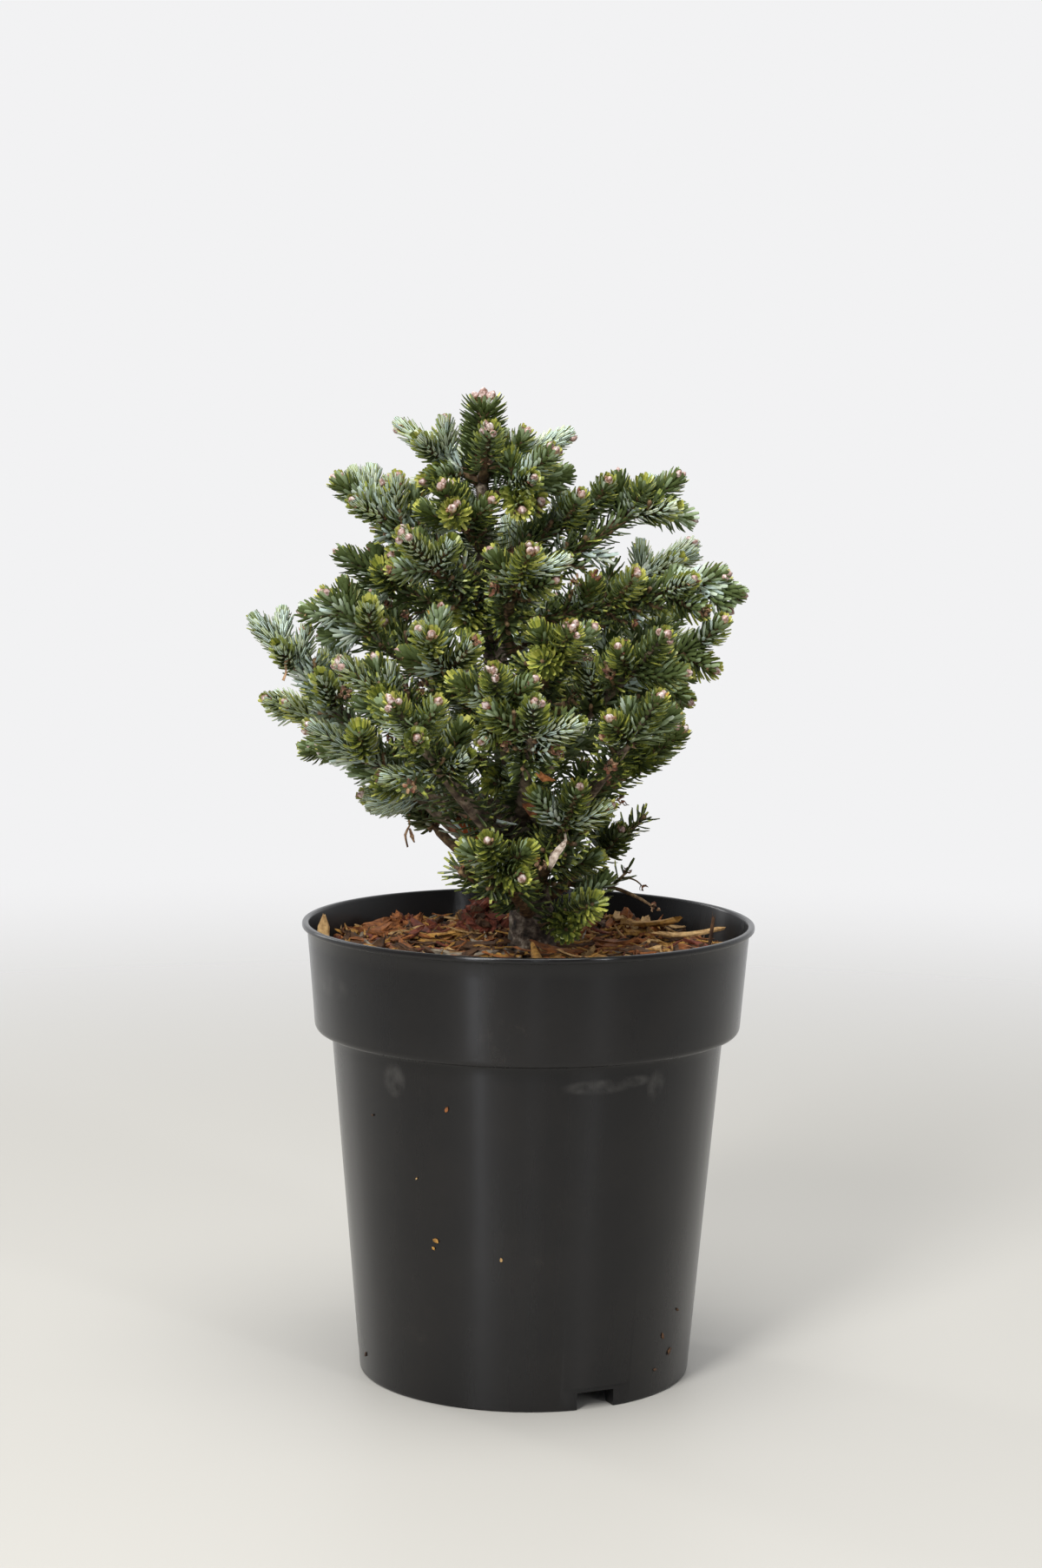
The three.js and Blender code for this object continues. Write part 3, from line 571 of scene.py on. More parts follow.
def bark_material(name, stops):
    """Blotched bark with patches of lichen, and orange where the limb has peeled."""
    material, tree, shader = node_material(name, 0.86)
    colour = ramp(tree, grain(tree, 260, 6, roughness=0.62), *stops)
    lichen = ramp(tree, grain(tree, 90, 4, (1, 1, 0.7)), (0.56, 0.0), (0.68, 0.75))
    colour = laid_over(tree, colour, lichen, (100, 100, 56))
    ragged = ramp(tree, grain(tree, 170, 4), (0.42, 0.0), (0.48, 0.95))
    colour = laid_over(tree, colour, times(tree, spot(tree, *PEELED_BARK), ragged), (196, 104, 52))
    put(tree, shader.inputs["Base Color"], colour)
    add_bump(tree, grain(tree, 420, 5, (0.35, 0.35, 2.2), 0.7), 1.0, 0.001)
    return material


def bud_material():
    """Pinkish overlapping scales under patches of pale resin."""
    material, tree, shader = node_material("bud", 0.34)
    scales = pattern(tree, "TexVoronoi", "Distance", 900)
    colour = ramp(tree, scales, (0.0, (206, 184, 176)), (0.35, (176, 144, 134)), (0.75, (108, 76, 60)))
    resin = ramp(tree, grain(tree, 620, 3), (0.50, 0.0), (0.66, 0.75))
    put(tree, shader.inputs["Base Color"], laid_over(tree, colour, resin, (232, 222, 218)))
    add_bump(tree, scales, 0.5, 0.0004)
    return material


def speckled_material(name, stops, roughness, scale, detail, rough=0.5, bump=None):
    """A material in the colours of one noise, which may also be its bump (strength and depth)."""
    material, tree, shader = node_material(name, roughness)
    specks = grain(tree, scale, detail, roughness=rough)
    put(tree, shader.inputs["Base Color"], ramp(tree, specks, *stops))
    if bump:
        add_bump(tree, specks, *bump)
    return material


def scale_material(name, dark, light):
    return speckled_material(name, [(0.36, dark), (0.62, light)], 0.7, 700, 4)


def chip_material(name, dark, light):
    return speckled_material(name, [(0.34, dark), (0.66, light)], 0.82, 420, 7, 0.68, (0.9, 0.0005))


def pot_material():
    """Black plastic that glints in upright streaks, dusty and smudged."""
    brushed = {"IOR": 1.40, "Anisotropic": 0.85, "Anisotropic_Rotation": 0.25}
    material, tree, shader = node_material("pot_plastic", 0.42, (20, 20, 21), **brushed)
    tangent = node(tree, "Tangent", "Tangent")
    tangent.node.direction_type, tangent.node.axis = "RADIAL", "Z"
    put(tree, shader.inputs["Tangent"], tangent)
    streak = grain(tree, 55, 5, (1, 1, 0.12), 0.6)
    put(tree, shader.inputs["Roughness"], ramp(tree, streak, (0.30, 0.22), (0.55, 0.26), (0.75, 0.36)))
    dust = grain(tree, 30, 8, roughness=0.7)
    colour = ramp(tree, dust, (0.42, (19, 18, 18)), (0.64, (24, 22, 21)), (0.80, (44, 40, 36)))
    on_wall = BODY_TOP_RADIUS - 0.5
    spots, *others = [
        spot(tree, way_to(bearing - 90) * on_wall + UP * height, *half) for bearing, height, *half in SMUDGES
    ]
    for other in others:
        spots = node(tree, "Math", "Value", spots, other, operation="MAXIMUM")
    worn = times(tree, spots, ramp(tree, grain(tree, 110, 4), (0.40, 0.0), (0.62, 0.42)))
    put(tree, shader.inputs["Base Color"], laid_over(tree, colour, worn, (84, 82, 78)))
    add_bump(tree, grain(tree, 1500, 3), 0.06, 0.0001)
    return material


# ---------------------------------------------------------------- needles

GREENS = [
    ("needle_dark", (62, 73, 36)),
    ("needle_deep", (102, 112, 47)),
    ("needle_green", (140, 147, 60)),
    ("needle_fresh", (172, 174, 76)),
    ("needle_lime", (200, 198, 102)),
]
SILVERS = [
    ("needle_band_green", (84, 97, 54)),
    ("needle_band_dull", (138, 154, 116)),
    ("needle_band_grey", (194, 207, 184)),
    ("needle_band_blue", (203, 220, 211)),
    ("needle_band_pale", (214, 222, 206)),
]
TIPS = [
    ("needle_tip_green", (140, 150, 72)),
    ("needle_tip", (168, 176, 88)),
    ("needle_tip_pale", (200, 206, 146)),
    ("needle_tip_gold", (192, 152, 70)),
]
BAND_KIND = len(GREENS)
TIP_KIND = len(GREENS) + len(SILVERS)

# A blade: its cross section in half widths, the strips between the section's points, which of them
# are the pale bands below or a tone darker (painted shade on one half of a green needle's upper face,
# the own green of a silver needle's margins and midrib), and its stations as place, width and
# thickness. Then how often a needle's tip has a colour of its own, and the shares of those colours.
SILVER_BLADE = {
    "section": [(-1, 0.08), (1, 0.08), (1, 0.08), (0.76, -0.2), (0.18, -0.5), (-0.18, -0.5), (-0.76, -0.2)],
    "strips": [(0, 1), (2, 3), (3, 4), (4, 5), (5, 6), (6, 0)],
    "bands": (2, 4),
    # The margins and the midrib, a tone darker in their own green.
    "painted_shade_midrib_margins": (1, 3, 5),
    "stations": [(0.0, 0.50, 1.1), (0.5, 1.0, 1.0), (1.0, 0.68, 0.3)],
    "tipped": 0.3,
    "tips": [0.5, 0.2, 0.3, 0.0],
}
GREEN_BLADE = {
    "section": [(-1.0, 0.2), (0.0, -0.12), (0.0, -0.12), (1.0, 0.2), (1.0, 0.2), (0.0, -0.60), (-1.0, 0.2)],
    "strips": [(0, 1), (2, 3), (4, 5), (5, 6)],
    "bands": (2, 3),
    # One half of the upper face a tone darker: painted shade, as if lit from the other side.
    "painted_shade_midrib_margins": (1,),
    "stations": [(0.0, 0.55, 1.1), (0.32, 0.96, 1.0), (0.78, 1.0, 0.9), (1.0, 0.66, 0.3)],
    "tipped": 0.25,
    "tips": [0.34, 0.5, 0.14, 0.02],
}
OLD_BLADE = {
    **GREEN_BLADE,
    "stations": [(0.0, 0.55, 1.1), (0.7, 1.0, 1.0), (1.0, 0.66, 0.3)],
    "tipped": 0.2,
    "tips": [0.8, 0.15, 0.02, 0.03],
}
BLADES = (GREEN_BLADE, SILVER_BLADE, OLD_BLADE)

# The share of a branch's shoots that turn the pale underside of their needles outwards.
SILVER_SHARES = {
    "top_left": 1.0, "top_right": 0.7, "top_back": 0.8, "top_front_right": 0.4, "high_right": 0.5,
    "upper_left_high": 0.7, "upper_right_high": 0.35, "upper_right": 0.3, "upper_back_right": 0.6,
    "middle_right": 0.12, "middle_front_right": 0.08, "middle_right_side": 0.08, "low_left": 0.8,
    "low_left_front": 0.15, "low_left_back": 0.7, "low_front_left": 0.35, "low_front": 0.4,
    "low_front_right": 0.05, "low_right": 0.08, "skirt_front": 0.0, "skirt_front_right": 0.1,
}
SILVER_ELSEWHERE = 0.16
MIXED_SHARE = 0.45  # of the other shoots: green round the buds, pale towards their foot
MIXED_RIGHT = 0.12  # the same on the right and in the skirt

NEEDLE_LENGTH = 7.3
NEEDLE_HALF_WIDTH = 0.71
SILVER_WIDER = 1.18
SHOOT_DENSITY = 4.5  # needles along each millimetre of this year's shoots
SILVER_SPARSER = 0.9
CROWN_NEEDLES = 13  # the short ones that stand round the buds at a shoot's tip
TIP_ZONE = 6  # the length at a shoot's tip over which its needles close in and stay green
NEEDLE_OFF_TRUNK = 2.5
NEEDLE_OFF_SOIL = 2
MOUTH_RADIUS = 76  # within which needles may dip below the pot's lip
GOLDEN_TURN = math.radians(137.508)

rng = np.random.default_rng(7)  # every chance in the tree's looks is drawn from this, in order


class Spray:
    """The habit and colours that the needles of one shoot share."""

    def __init__(self, silver_share=SILVER_ELSEWHERE, mixed_share=MIXED_SHARE):
        self.silver = rng.uniform() < silver_share
        self.mixed = not self.silver and rng.uniform() < mixed_share
        self.spread = rng.normal(48 if self.silver else 64, 3)
        self.bend = 24 if self.silver else 34
        self.lift = 0.05 if self.silver else 0.45
        self.taper = 0.2
        self.tone = float(np.clip(rng.normal(1.1 if self.silver else 2.15, 0.5), 0.4, 3.2))
        self.band = rng.normal(2.9, 0.45) if self.silver else rng.normal(0.3, 0.4)

    def density(self):
        return SHOOT_DENSITY * (SILVER_SPARSER if self.silver else 1)


class Needles:
    """Needles as arrays: root, way, the way the upper face looks, length, width, bend and colours."""

    def __init__(self):
        self.lists = ([], [], [])

    def add(self, columns, blade):
        self.lists[BLADES.index(blade)].append(columns)

    def mesh(self):
        heap = Heap()
        for rows, blade in zip(self.lists, BLADES):
            if rows:
                heap.add(*blades([np.concatenate(column) for column in zip(*rows)], blade))
        return heap


def blades(columns, blade):
    """Points, quads and material numbers of many needles at once."""
    root, way, upper, length, width, bend, green, band, tip = columns
    side = np.cross(way, upper)
    section = np.array(blade["section"])
    stations, per_ring = blade["stations"], len(section)
    curve = np.maximum(np.abs(bend), 1e-4)
    rings = []
    for place, broad, thick in stations:
        angle = bend * place
        along, lift = length * np.sin(curve * place) / curve, length * (1 - np.cos(curve * place)) / curve
        centre = root + way * along[:, None] + upper * lift[:, None]
        normal = upper * np.cos(angle)[:, None] - way * np.sin(angle)[:, None]
        x = section[:, 0] * broad
        y = section[:, 1] * thick * min(1, broad * 1.3)
        outline = side[:, None] * x[None, :, None] + normal[:, None] * y[None, :, None]
        rings.append(centre[:, None] + width[:, None, None] * outline)
    points = np.concatenate(rings, 1)
    quads, kinds = [], []
    last = len(stations) - 2
    for i in range(last + 1):
        for strip, (p, q) in enumerate(blade["strips"]):
            low, high = i * per_ring, (i + 1) * per_ring
            quads.append([low + p, low + q, high + q, high + p])
            # Tones darker for each strip: the first segment two, painted shade near the stem; a green
            # needle's half face one, painted shade; a silver needle's margins and midrib one, their own
            # colour; the last segment one lighter, the tip's own colour.
            shade_and_tone_steps = 2 * (i == 0) + (strip in blade["painted_shade_midrib_margins"]) - (i == last)
            kind = np.clip(green - shade_and_tone_steps, 0, len(GREENS) - 1)
            if i == last and shade_and_tone_steps <= 0:
                kind = np.where(tip >= 0, tip, kind)
            kinds.append(band if strip in blade["bands"] else kind)
    firsts = np.arange(len(root))[:, None, None] * points.shape[1]
    return points.reshape(-1, 3), (quads + firsts).reshape(-1, 4), np.stack(kinds, 1).reshape(-1)


def clothe(needles, line, radii, density, spray, age=0.0, tip=True):
    """Sets needles in a spiral round a line. age 0 is this year's dense growth; older wood is sparse."""
    steps = np.linalg.norm(np.diff(line, axis=0), axis=1)
    lengths = np.concatenate([[0], np.cumsum(steps)])
    total = lengths[-1]
    count = max(1, int(total * density))
    crowning = CROWN_NEEDLES if tip and age < 0.3 else 0
    at = (np.arange(count) + rng.uniform(0.4, 0.6, count)) / count * (total - 1.0 if tip else total)
    at = np.concatenate([at, total - rng.uniform(0.0, 0.9, crowning)])
    count += crowning
    ways, us, _ = frames_along(line)
    placed = np.concatenate([line, ways, us], 1).T
    centre, way, u = np.split(np.stack([np.interp(at, lengths, row) for row in placed], 1), 3, 1)
    way = unit(way)
    u = unit(u - way * (u * way).sum(1, keepdims=True))
    turn = (np.arange(count) * GOLDEN_TURN + rng.normal(0, 0.05, count))[:, None]
    radial = u * np.cos(turn) + np.cross(way, u) * np.sin(turn)
    if age:  # older needles are combed to both sides
        sideways = unit(np.cross(way, (0, 0, 1.0)) + 1e-6)
        which = np.sign((radial * sideways).sum(1, keepdims=True))
        comb = 0.9 * min(1, 1.6 * age)
        radial = unit(radial + comb * which * sideways + np.array([0, 0, 0.25 * comb]))
    near_tip = np.clip(1 - (total - at) / TIP_ZONE, 0, 1) if tip else np.zeros(count)
    closing = np.where(np.arange(count) >= count - crowning, 5, 0)
    spread = spray.spread + 12 * age - 18 * near_tip**2 - closing + rng.normal(0, 2.5 + 6 * age, count)
    spread = np.radians(spread)[:, None]
    heading = way * np.cos(spread) + radial * np.sin(spread)
    heading[:, 2] += 0.05 - 0.1 * age
    heading = unit(heading + rng.normal(0, 0.01 + 0.07 * age, heading.shape))
    upper = unit(way - heading * (heading * way).sum(1, keepdims=True))
    skyward = np.array([0, 0, 1.0]) - heading * heading[:, 2:3]
    upper = upper + skyward * np.clip(spray.lift + 0.3 * age + rng.normal(0, 0.05, count), 0, 1.2)[:, None]
    upper = unit(upper + np.cross(heading, upper) * rng.normal(0, 0.05 + 0.25 * age, count)[:, None])
    size = NEEDLE_LENGTH * (1 - spray.taper * near_tip) * rng.uniform(0.92, 1.07, count) * (1 + 0.15 * age)
    bend = np.radians(spray.bend + rng.normal(0, 5, count)) * (1 - 0.7 * age)
    width = NEEDLE_HALF_WIDTH * (SILVER_WIDER if spray.silver else 1) * rng.uniform(0.9, 1.08, count)
    width *= 1 - 0.2 * min(1, 2 * age)
    root = centre + radial * (np.interp(at, lengths, radii) * 0.8)[:, None]
    end = root + heading * size[:, None]
    height, off_axis = end[:, 2], np.hypot(end[:, 0], end[:, 1])
    fits = (distance_from_trunk(end) > NEEDLE_OFF_TRUNK) & (height > SOIL_TOP + NEEDLE_OFF_SOIL)
    fits &= (height > POT_HEIGHT + NEEDLE_OFF_SOIL) | (off_axis < MOUTH_RADIUS)
    green = spray.tone - 1.6 * age + rng.normal(0, 0.8, count) + (0.2 if spray.silver else 0.6) * near_tip
    green = np.clip(np.rint(green), 0, len(GREENS) - 1).astype(int)
    foot = np.clip((total - at - TIP_ZONE) / 3, 0, 1) if spray.mixed and tip else np.zeros(count)
    band = np.rint(spray.band + 2.5 * foot + rng.normal(0, 0.6, count) - 1.2 * age).astype(int)
    band = np.clip(band, 0, len(SILVERS) - 1) + BAND_KIND
    blade = OLD_BLADE if age > 0.2 else SILVER_BLADE if spray.silver else GREEN_BLADE
    point = TIP_KIND + rng.choice(len(TIPS), count, p=blade["tips"])
    point = np.where(rng.uniform(size=count) < blade["tipped"], point, -1)
    columns = root, heading, upper, size, width, bend, green, band, point
    needles.add([column[fits] for column in columns], blade)


# ---------------------------------------------------------------- growing what shows

crown = Crown()
crown.grow_twigs(rng)
bark_heap, twig_heap, bud_heap, scale_heap, dry_heap = (Heap() for _ in range(5))

# The needles go into pieces by the height at which their branch leaves the trunk.
NEEDLE_LEVELS = [215, 243, 256, 268, 288, 312]
needle_groups = [Needles() for _ in range(len(NEEDLE_LEVELS) + 1)]


def needle_group(branch):
    return int(np.searchsorted(NEEDLE_LEVELS, branch.points[0][2]))


def bud(centre, way, radius, length):
    """A plump resinous bud: a rounded egg with the low relief of its overlapping scales."""
    sides, rings = 12, 8
    turns = round_turns(sides) + rng.uniform(0, 6)
    out = spokes(way, turns)
    points = []
    for i in range(1, rings):
        t = i / rings
        scales = 1 + 0.07 * np.sin(2 * turns + i * 1.9) * np.cos(turns * 3 - i)
        r = radius * math.sin(math.pi * t**0.85) ** 0.75 * scales * (1 + rng.normal(0, 0.03))
        points.append(centre + way * length * (t - 0.35) + out * r[:, None])
    points.append([centre - way * length * 0.35, centre + way * length * 0.66])
    quads, triangles = tube_faces(rings - 1, sides)
    bud_heap.add(np.concatenate(points), quads, 0, triangles)


def buds_at(tip, way, count):
    """A bud at a shoot's tip with smaller ones crowded round it, or an old bud's open scales."""
    if not count:
        if rng.uniform() < 0.22:
            scale_tuft(tip + way, way, 1.3, 14)
        return
    bud(tip + way * 1.5, way, rng.uniform(1.4, 1.65), rng.uniform(3.6, 4.2))
    scale_tuft(tip, way, 1.5, 5)
    turn = rng.uniform(0, 2 * np.pi)
    for _ in range(count - 1):
        out = spokes(way, turn)
        lean = unit(way + out * rng.uniform(0.3, 0.7))
        foot = tip + out * rng.uniform(2.2, 2.7) - way * rng.uniform(-1.2, -0.4)
        bud(foot, lean, rng.uniform(1.25, 1.5), rng.uniform(3.0, 3.6))
        turn += rng.uniform(1.2, 2.4)


def scale_tuft(centre, way, radius, count):
    """The dry scales of an old bud, left in a ragged ring where one year's growth meets the next."""
    for _ in range(count):
        out = spokes(way, rng.uniform(0, 2 * np.pi))
        root = centre + out * radius * 0.8 + way * rng.normal(0, 0.7)
        reach = unit(out * rng.uniform(0.5, 1.1) + way * rng.uniform(0.2, 1.0) + rng.normal(0, 0.25, 3))
        length, half = rng.uniform(1.3, 2.5), rng.uniform(0.4, 0.75)
        across = np.cross(way, out)
        face = np.cross(across, reach)
        across, curl = across * half, face * 0.12 * length
        middle, end = root + reach * length * 0.6 + curl, root + reach * length - curl
        top = [root - across, root + across, middle + across * 1.1, middle - across * 1.1, end]
        points = np.array(top + [p - face * 0.16 for p in top])
        quads = [(0, 1, 2, 3), (8, 7, 6, 5), (0, 3, 8, 5), (1, 6, 7, 2)]
        triangles = [(3, 2, 4), (7, 8, 9), (2, 7, 9), (2, 9, 4), (3, 4, 9), (3, 9, 8)]
        scale_heap.add(points, quads, int(rng.integers(0, 3)), triangles)


# The age and the needles a millimetre of each whorl's older wood.
OLD_WOOD = {
    "skirt": (1.0, 1.7), "low": (1.0, 2.2), "middle": (0.9, 1.8),
    "upper": (0.6, 3.4), "high": (0.6, 3.0), "top": (0.5, 3.2),
}

# Finer twigs left out, by number, where the photo shows sky or bare wood.
LEFT_OUT = {
    "upper_right_high": (0, 1, 2, 3), "upper_back_right": (0, 1), "skirt_left": range(20),
    "low_right": (0, 2), "low_front_right": (1, 2), "low_right_back": (2, 3),
    "skirt_front": (4, 8, 10), "skirt_front_right": (9,), "skirt_right": (0, 1),
}

# Buds at the branches' own tips, as the photo shows them; the others are dealt by chance.
TIP_BUDS = {
    "top_front": 4, "top_front_right": 3, "top_right": 2, "top_left": 2, "top_back": 0, "high_front_left": 2,
    "upper_left_high": 2, "high_right": 1, "upper_right_high": 2, "upper_front_left": 4, "upper_front": 3,
    "upper_back": 1, "upper_right": 3, "upper_left": 1, "middle_left": 2, "middle_front_left": 1,
    "middle_front": 3, "middle_front_right": 4, "middle_right": 3, "middle_right_side": 1,
    "middle_left_front": 4, "low_front_left": 4, "low_left": 0, "low_left_back": 1, "low_left_front": 3,
    "low_front": 2, "low_front_right": 2, "low_right": 2, "skirt_front": 1, "skirt_front_right": 1,
    "skirt_low_right": 0, "skirt_back": 0, "skirt_left": 0, "skirt_right": 0,
}
TIP_BUD_SHARES = [0.1, 0.2, 0.22, 0.28, 0.2]
SIDE_BUD_SHARES = [0.58, 0.32, 0.1]

# Tone of the green of a few branches that stand out; skirt_right's is raised as painted light, to lift it out
# of the shade it hangs in.
TONES = {
    "skirt_right": 2.9, "skirt_low_right": 1.9, "skirt_front": 1.7,
    "top_front": 1.3, "low_front_right": 2.1, "middle_right": 2.1,
}


def grow_branch(branch):
    """A branch from the trunk to its tip: this year's growth, the year before's, older wood, then shoots."""
    name = branch.name
    by_the_right = name.startswith("skirt") or "right" in name or name == "top_front"
    shares = (SILVER_SHARES.get(name, SILVER_ELSEWHERE), MIXED_RIGHT if by_the_right else MIXED_SHARE)
    spray = Spray(*shares)
    spray.tone = TONES.get(name, spray.tone)
    needles = needle_groups[needle_group(branch)]
    stations = np.linspace(branch.exit + 1.5, BUD_LENGTH * 0.6, int(branch.exit / 1.6))
    line = np.array([branch.point(s) for s in stations])
    radii = np.where(stations < 24, 0.75 + 0.022 * stations, limb_radius(stations))
    swept_tube(bark_heap, line, radii, 9, 0 if branch.limb else 1, 0.18)
    first = branch.joints_at[0] if branch.joints_at else min(22, branch.exit * 0.6)
    second = branch.joints_at[1] if len(branch.joints_at) > 1 else first + 20

    def clad(part, fewest, density, age, tip=False):
        if part.sum() > fewest:
            clothe(needles, line[part], radii[part], density, spray, age, tip)

    density, age, middle_density = spray.density(), 0.0, 3.2
    if name == "skirt_right":
        density, age, middle_density = 2.2, 0.5, 1.8
    elif name == "skirt_low_right":
        density = 3.2
        spray.silver, spray.mixed, spray.spread, spray.bend = False, False, 66, 12
    clad(stations < first, 0, density, age, tip=True)
    if name != "skirt_left":  # whose wood is bare behind this year's growth
        clad((stations >= first - 1) & (stations < min(second, branch.exit - 2)), 3, middle_density, 0.4)
        age, density = OLD_WOOD[name.split("_")[0]]
        clad((stations >= second - 1) & (stations < branch.exit - 3), 4, density, age)
    way = unit(line[-1] - line[-2])
    by_chance = int(rng.choice(len(TIP_BUD_SHARES), p=TIP_BUD_SHARES))
    buds_at(line[-1] + way * 1.6, way, TIP_BUDS.get(name, by_chance))
    for joint in (first, second):
        if joint < branch.exit - 3:
            scale_tuft(branch.point(joint), branch.way(joint), limb_radius(joint), int(rng.integers(12, 22)))
    for root, tip in branch.sides:
        buds = int(rng.choice(len(SIDE_BUD_SHARES), p=SIDE_BUD_SHARES))
        grow_side(needles, root, tip, Spray(*shares), 0 if name == "skirt_low_right" else buds)
    for number, (root, tip) in enumerate(branch.twigs):
        if number not in LEFT_OUT.get(name, ()):
            grow_side(needles, root, tip, Spray(*shares), 0, age=0.3)


def grow_side(needles, root, tip, spray, buds, age=0.0):
    reach = tip - root
    sag = root + reach * 0.5 - UP * 0.06 * np.linalg.norm(reach)
    line = bezier(root, sag, tip - unit(reach) * BUD_LENGTH * 0.6, 10)
    radii = np.linspace(1.15, 0.8, len(line))
    swept_tube(twig_heap, line, radii, 6)
    clothe(needles, line[1:], radii[1:], spray.density() * (1 - 1.7 * age), spray, age)
    way = unit(line[-1] - line[-2])
    buds_at(line[-1] + way * 1.8, way, buds)


# Shoots that fill the crown's outline, by the branch that bears them, in the order they grow: the
# length from that branch's tip, the bearing, the rise, the length, 1 where it is silver, the buds.
MORE_SHOOTS = [
    ("top_left", [(22, -112, 74, 15, 1, 1), (28, -147, -14, 16, 0, 1), (26, 156, -23, 17, 1, 0)]),
    ("top_front_right", [(24, -37, -17, 15, 0, 1), (21, -80, -25, 20, 0, 1), (20, 11, -7, 16, 0, 1)]),
    ("high_front_left", [(16, -97, 9, 15, 0, 2)]),
    ("high_right", [(11, -64, 37, 15, 0, 1)]),
    ("upper_left_high", [(17, 99, 55, 16, 1, 1), (27, -86, 62, 19, 1, 1), (42, -150, -10, 15, 0, 1)]),
    ("upper_left", [(23, 161, 55, 15, 0, 0)]),
    ("upper_front", [(15, -15, 17, 16, 1, 1)]),
    ("upper_right_high", [(15, 14, -21, 18, 0, 1)]),
    ("upper_right", [(9, 2, -19, 15, 0, 1)]),
    ("middle_front_left", [(13, 15, 81, 15, 0, 1), (11, -89, 28, 11, 0, 1)]),
    ("middle_right_side", [(11, -35, -24, 15, 0, 1), (4, -43, 36, 14, 0, 1)]),
    ("middle_left", [(10, 167, -2, 15, 0, 1)]),
    ("middle_front", [(31, -113, -25, 17, 1, 1)]),
    ("low_front_left", [(43, -52, 23, 16, 1, 0)]),
    ("low_left", [(14, 90, 48, 16, 1, 1), (35, 54, 66, 17, 1, 0), (57, -165, -15, 18, 0, 1)]),
    ("low_left", [(88, 170, -14, 18, 1, 0)]),
    ("low_left_back", [(8, -139, 14, 15, 1, 1), (11, 151, 3, 14, 1, 0)]),
    ("low_left_front", [(46, -147, 2, 15, 0, 0)]),
    ("skirt_left", [(5, -154, 3, 16, 1, 1)]),
    ("middle_left", [(20, 161, -11, 16, 0, 1)]),
    ("middle_left_front", [(24, -164, 71, 15, 0, 1), (31, 160, 4, 16, 0, 0)]),
    ("low_left_front", [(37, 159, 1, 15, 0, 0)]),
    ("low_left", [(90, 165, -14, 20, 1, 0)]),
    ("upper_front_left", [(53, -106, -33, 15, 0, 0)]),
    ("middle_front", [(76, -119, -18, 15, 0, 0)]),
    ("low_front_right", [(63, -72, 75, 15, 0, 0)]),
    ("upper_right", [(55, -61, 49, 16, 0, 0)]),
    ("top_right", [(28, -28, 50, 15, 0, 1), (28, 38, 41, 12, 0, 0)]),
    ("top_front_right", [(16, 22, 2, 18, 0, 0)]),
    ("upper_right_high", [(26, 172, 85, 16, 0, 1)]),
    ("upper_back_right", [(15, -2, 17, 13, 1, 0)]),
    ("upper_right", [(11, 2, -40, 15, 0, 1)]),
    ("upper_left_high", [(34, -69, 80, 17, 0, 0)]),
    ("top_front_right", [(25, -32, -24, 15, 0, 0)]),
    ("high_right", [(40, 39, 39, 15, 0, 0)]),
    ("upper_left_high", [(17, 159, 58, 15, 1, 0)]),
    ("low_left", [(58, -169, -14, 22, 0, 0)]),
    ("top_left", [(29, -136, -3, 15, 0, 0)]),
    ("high_front_left", [(21, -127, 61, 15, 0, 1)]),
    ("middle_right_side", [(27, -30, -29, 21, 0, 1)]),
    ("middle_left", [(16, 159, 68, 15, 0, 1)]),
    ("skirt_low_right", [(20, 6, 44, 20, 0, 0)]),
    ("skirt_front_right", [(49, -17, 8, 20, 0, 0)]),
]


def grow_more():
    by_name = {branch.name: branch for branch in crown.branches}
    for name, shoots in MORE_SHOOTS:
        branch = by_name[name]
        for from_tip, bearing, rise, length, silver, buds in shoots:
            root = branch.point(from_tip)
            tip = root + length * way_to(bearing, rise)
            spray = Spray(silver, 0 if name.startswith("skirt") else MIXED_SHARE)
            grow_side(needle_groups[needle_group(branch)], root, tip, spray, buds)


def grow_leader():
    """The leader, thick with needles that stand straight out, and the ring of buds on its top."""
    foot, top = crown.leader
    line = np.linspace(foot, top - UP * 2.2, 14)
    radii = np.linspace(2.6, 2.4, 14)
    swept_tube(twig_heap, line, radii, 8)
    spray = Spray(0)
    spray.spread, spray.bend, spray.taper, spray.lift = 84, 26, -0.04, 0.1
    spray.tone, spray.mixed = 1.6, False
    clothe(needle_groups[-1], line, radii, 11.0, spray)
    stem = trunk_point(np.linspace(258, TRUNK_TIP - 1, 40))
    clothe(needle_groups[-1], stem, trunk_radius(stem[:, 2]), 4.2, spray, age=0.6, tip=False)
    scale_tuft(foot, UP, 2.6, 46)
    for number in range(7):
        out = way_to(number * 360 / 7)
        bud(top + out * rng.uniform(2.7, 3.5) + UP * rng.uniform(1.2, 1.8), unit(UP + out * 0.5), 1.6, 3.8)
    bud(top + UP * 2.6, UP, 1.8, 4.0)
    scale_tuft(top, UP, 2.6, 22)


# Pruned and leafless twigs: foot, middle and tip, radii at foot and tip, needles a millimetre.
BARE_TWIGS = [
    ((-6.4, -22.0, 182.5), (-15.0, -36.0, 186.5), (-25.0, -46.0, 193.6), 2.0, 1.6, 4.2),
    ((17.1, 2.0, 181.7), (31.0, -5.0, 181.6), (45.0, -14.0, 176.3), 0.95, 0.5, 0.0),
    ((29.0, -4.6, 181.0), (33.0, -5.0, 184.5), (36.2, -4.0, 187.6), 0.7, 0.5, 0.9),
    ((33.6, -4.6, 185.0), (38.0, -6.0, 185.0), (41.4, -8.0, 182.8), 0.4, 0.3, 0.0),
]


def grow_bare_twigs():
    for foot, middle, tip, thick, thin, density in BARE_TWIGS:
        foot, middle, tip = np.array([foot, middle, tip])
        line = bezier(foot, middle * 2 - (foot + tip) / 2, tip, 16)
        radii = np.linspace(thick, thin, 16)
        swept_tube(bark_heap, line, radii, 8, 1, 0.15)
        if density:
            clothe(needle_groups[0], line[3:], radii[3:], density, Spray(0), age=0.5, tip=False)
        scale_tuft(line[-1], unit(line[-1] - line[-2]), thin, 7)


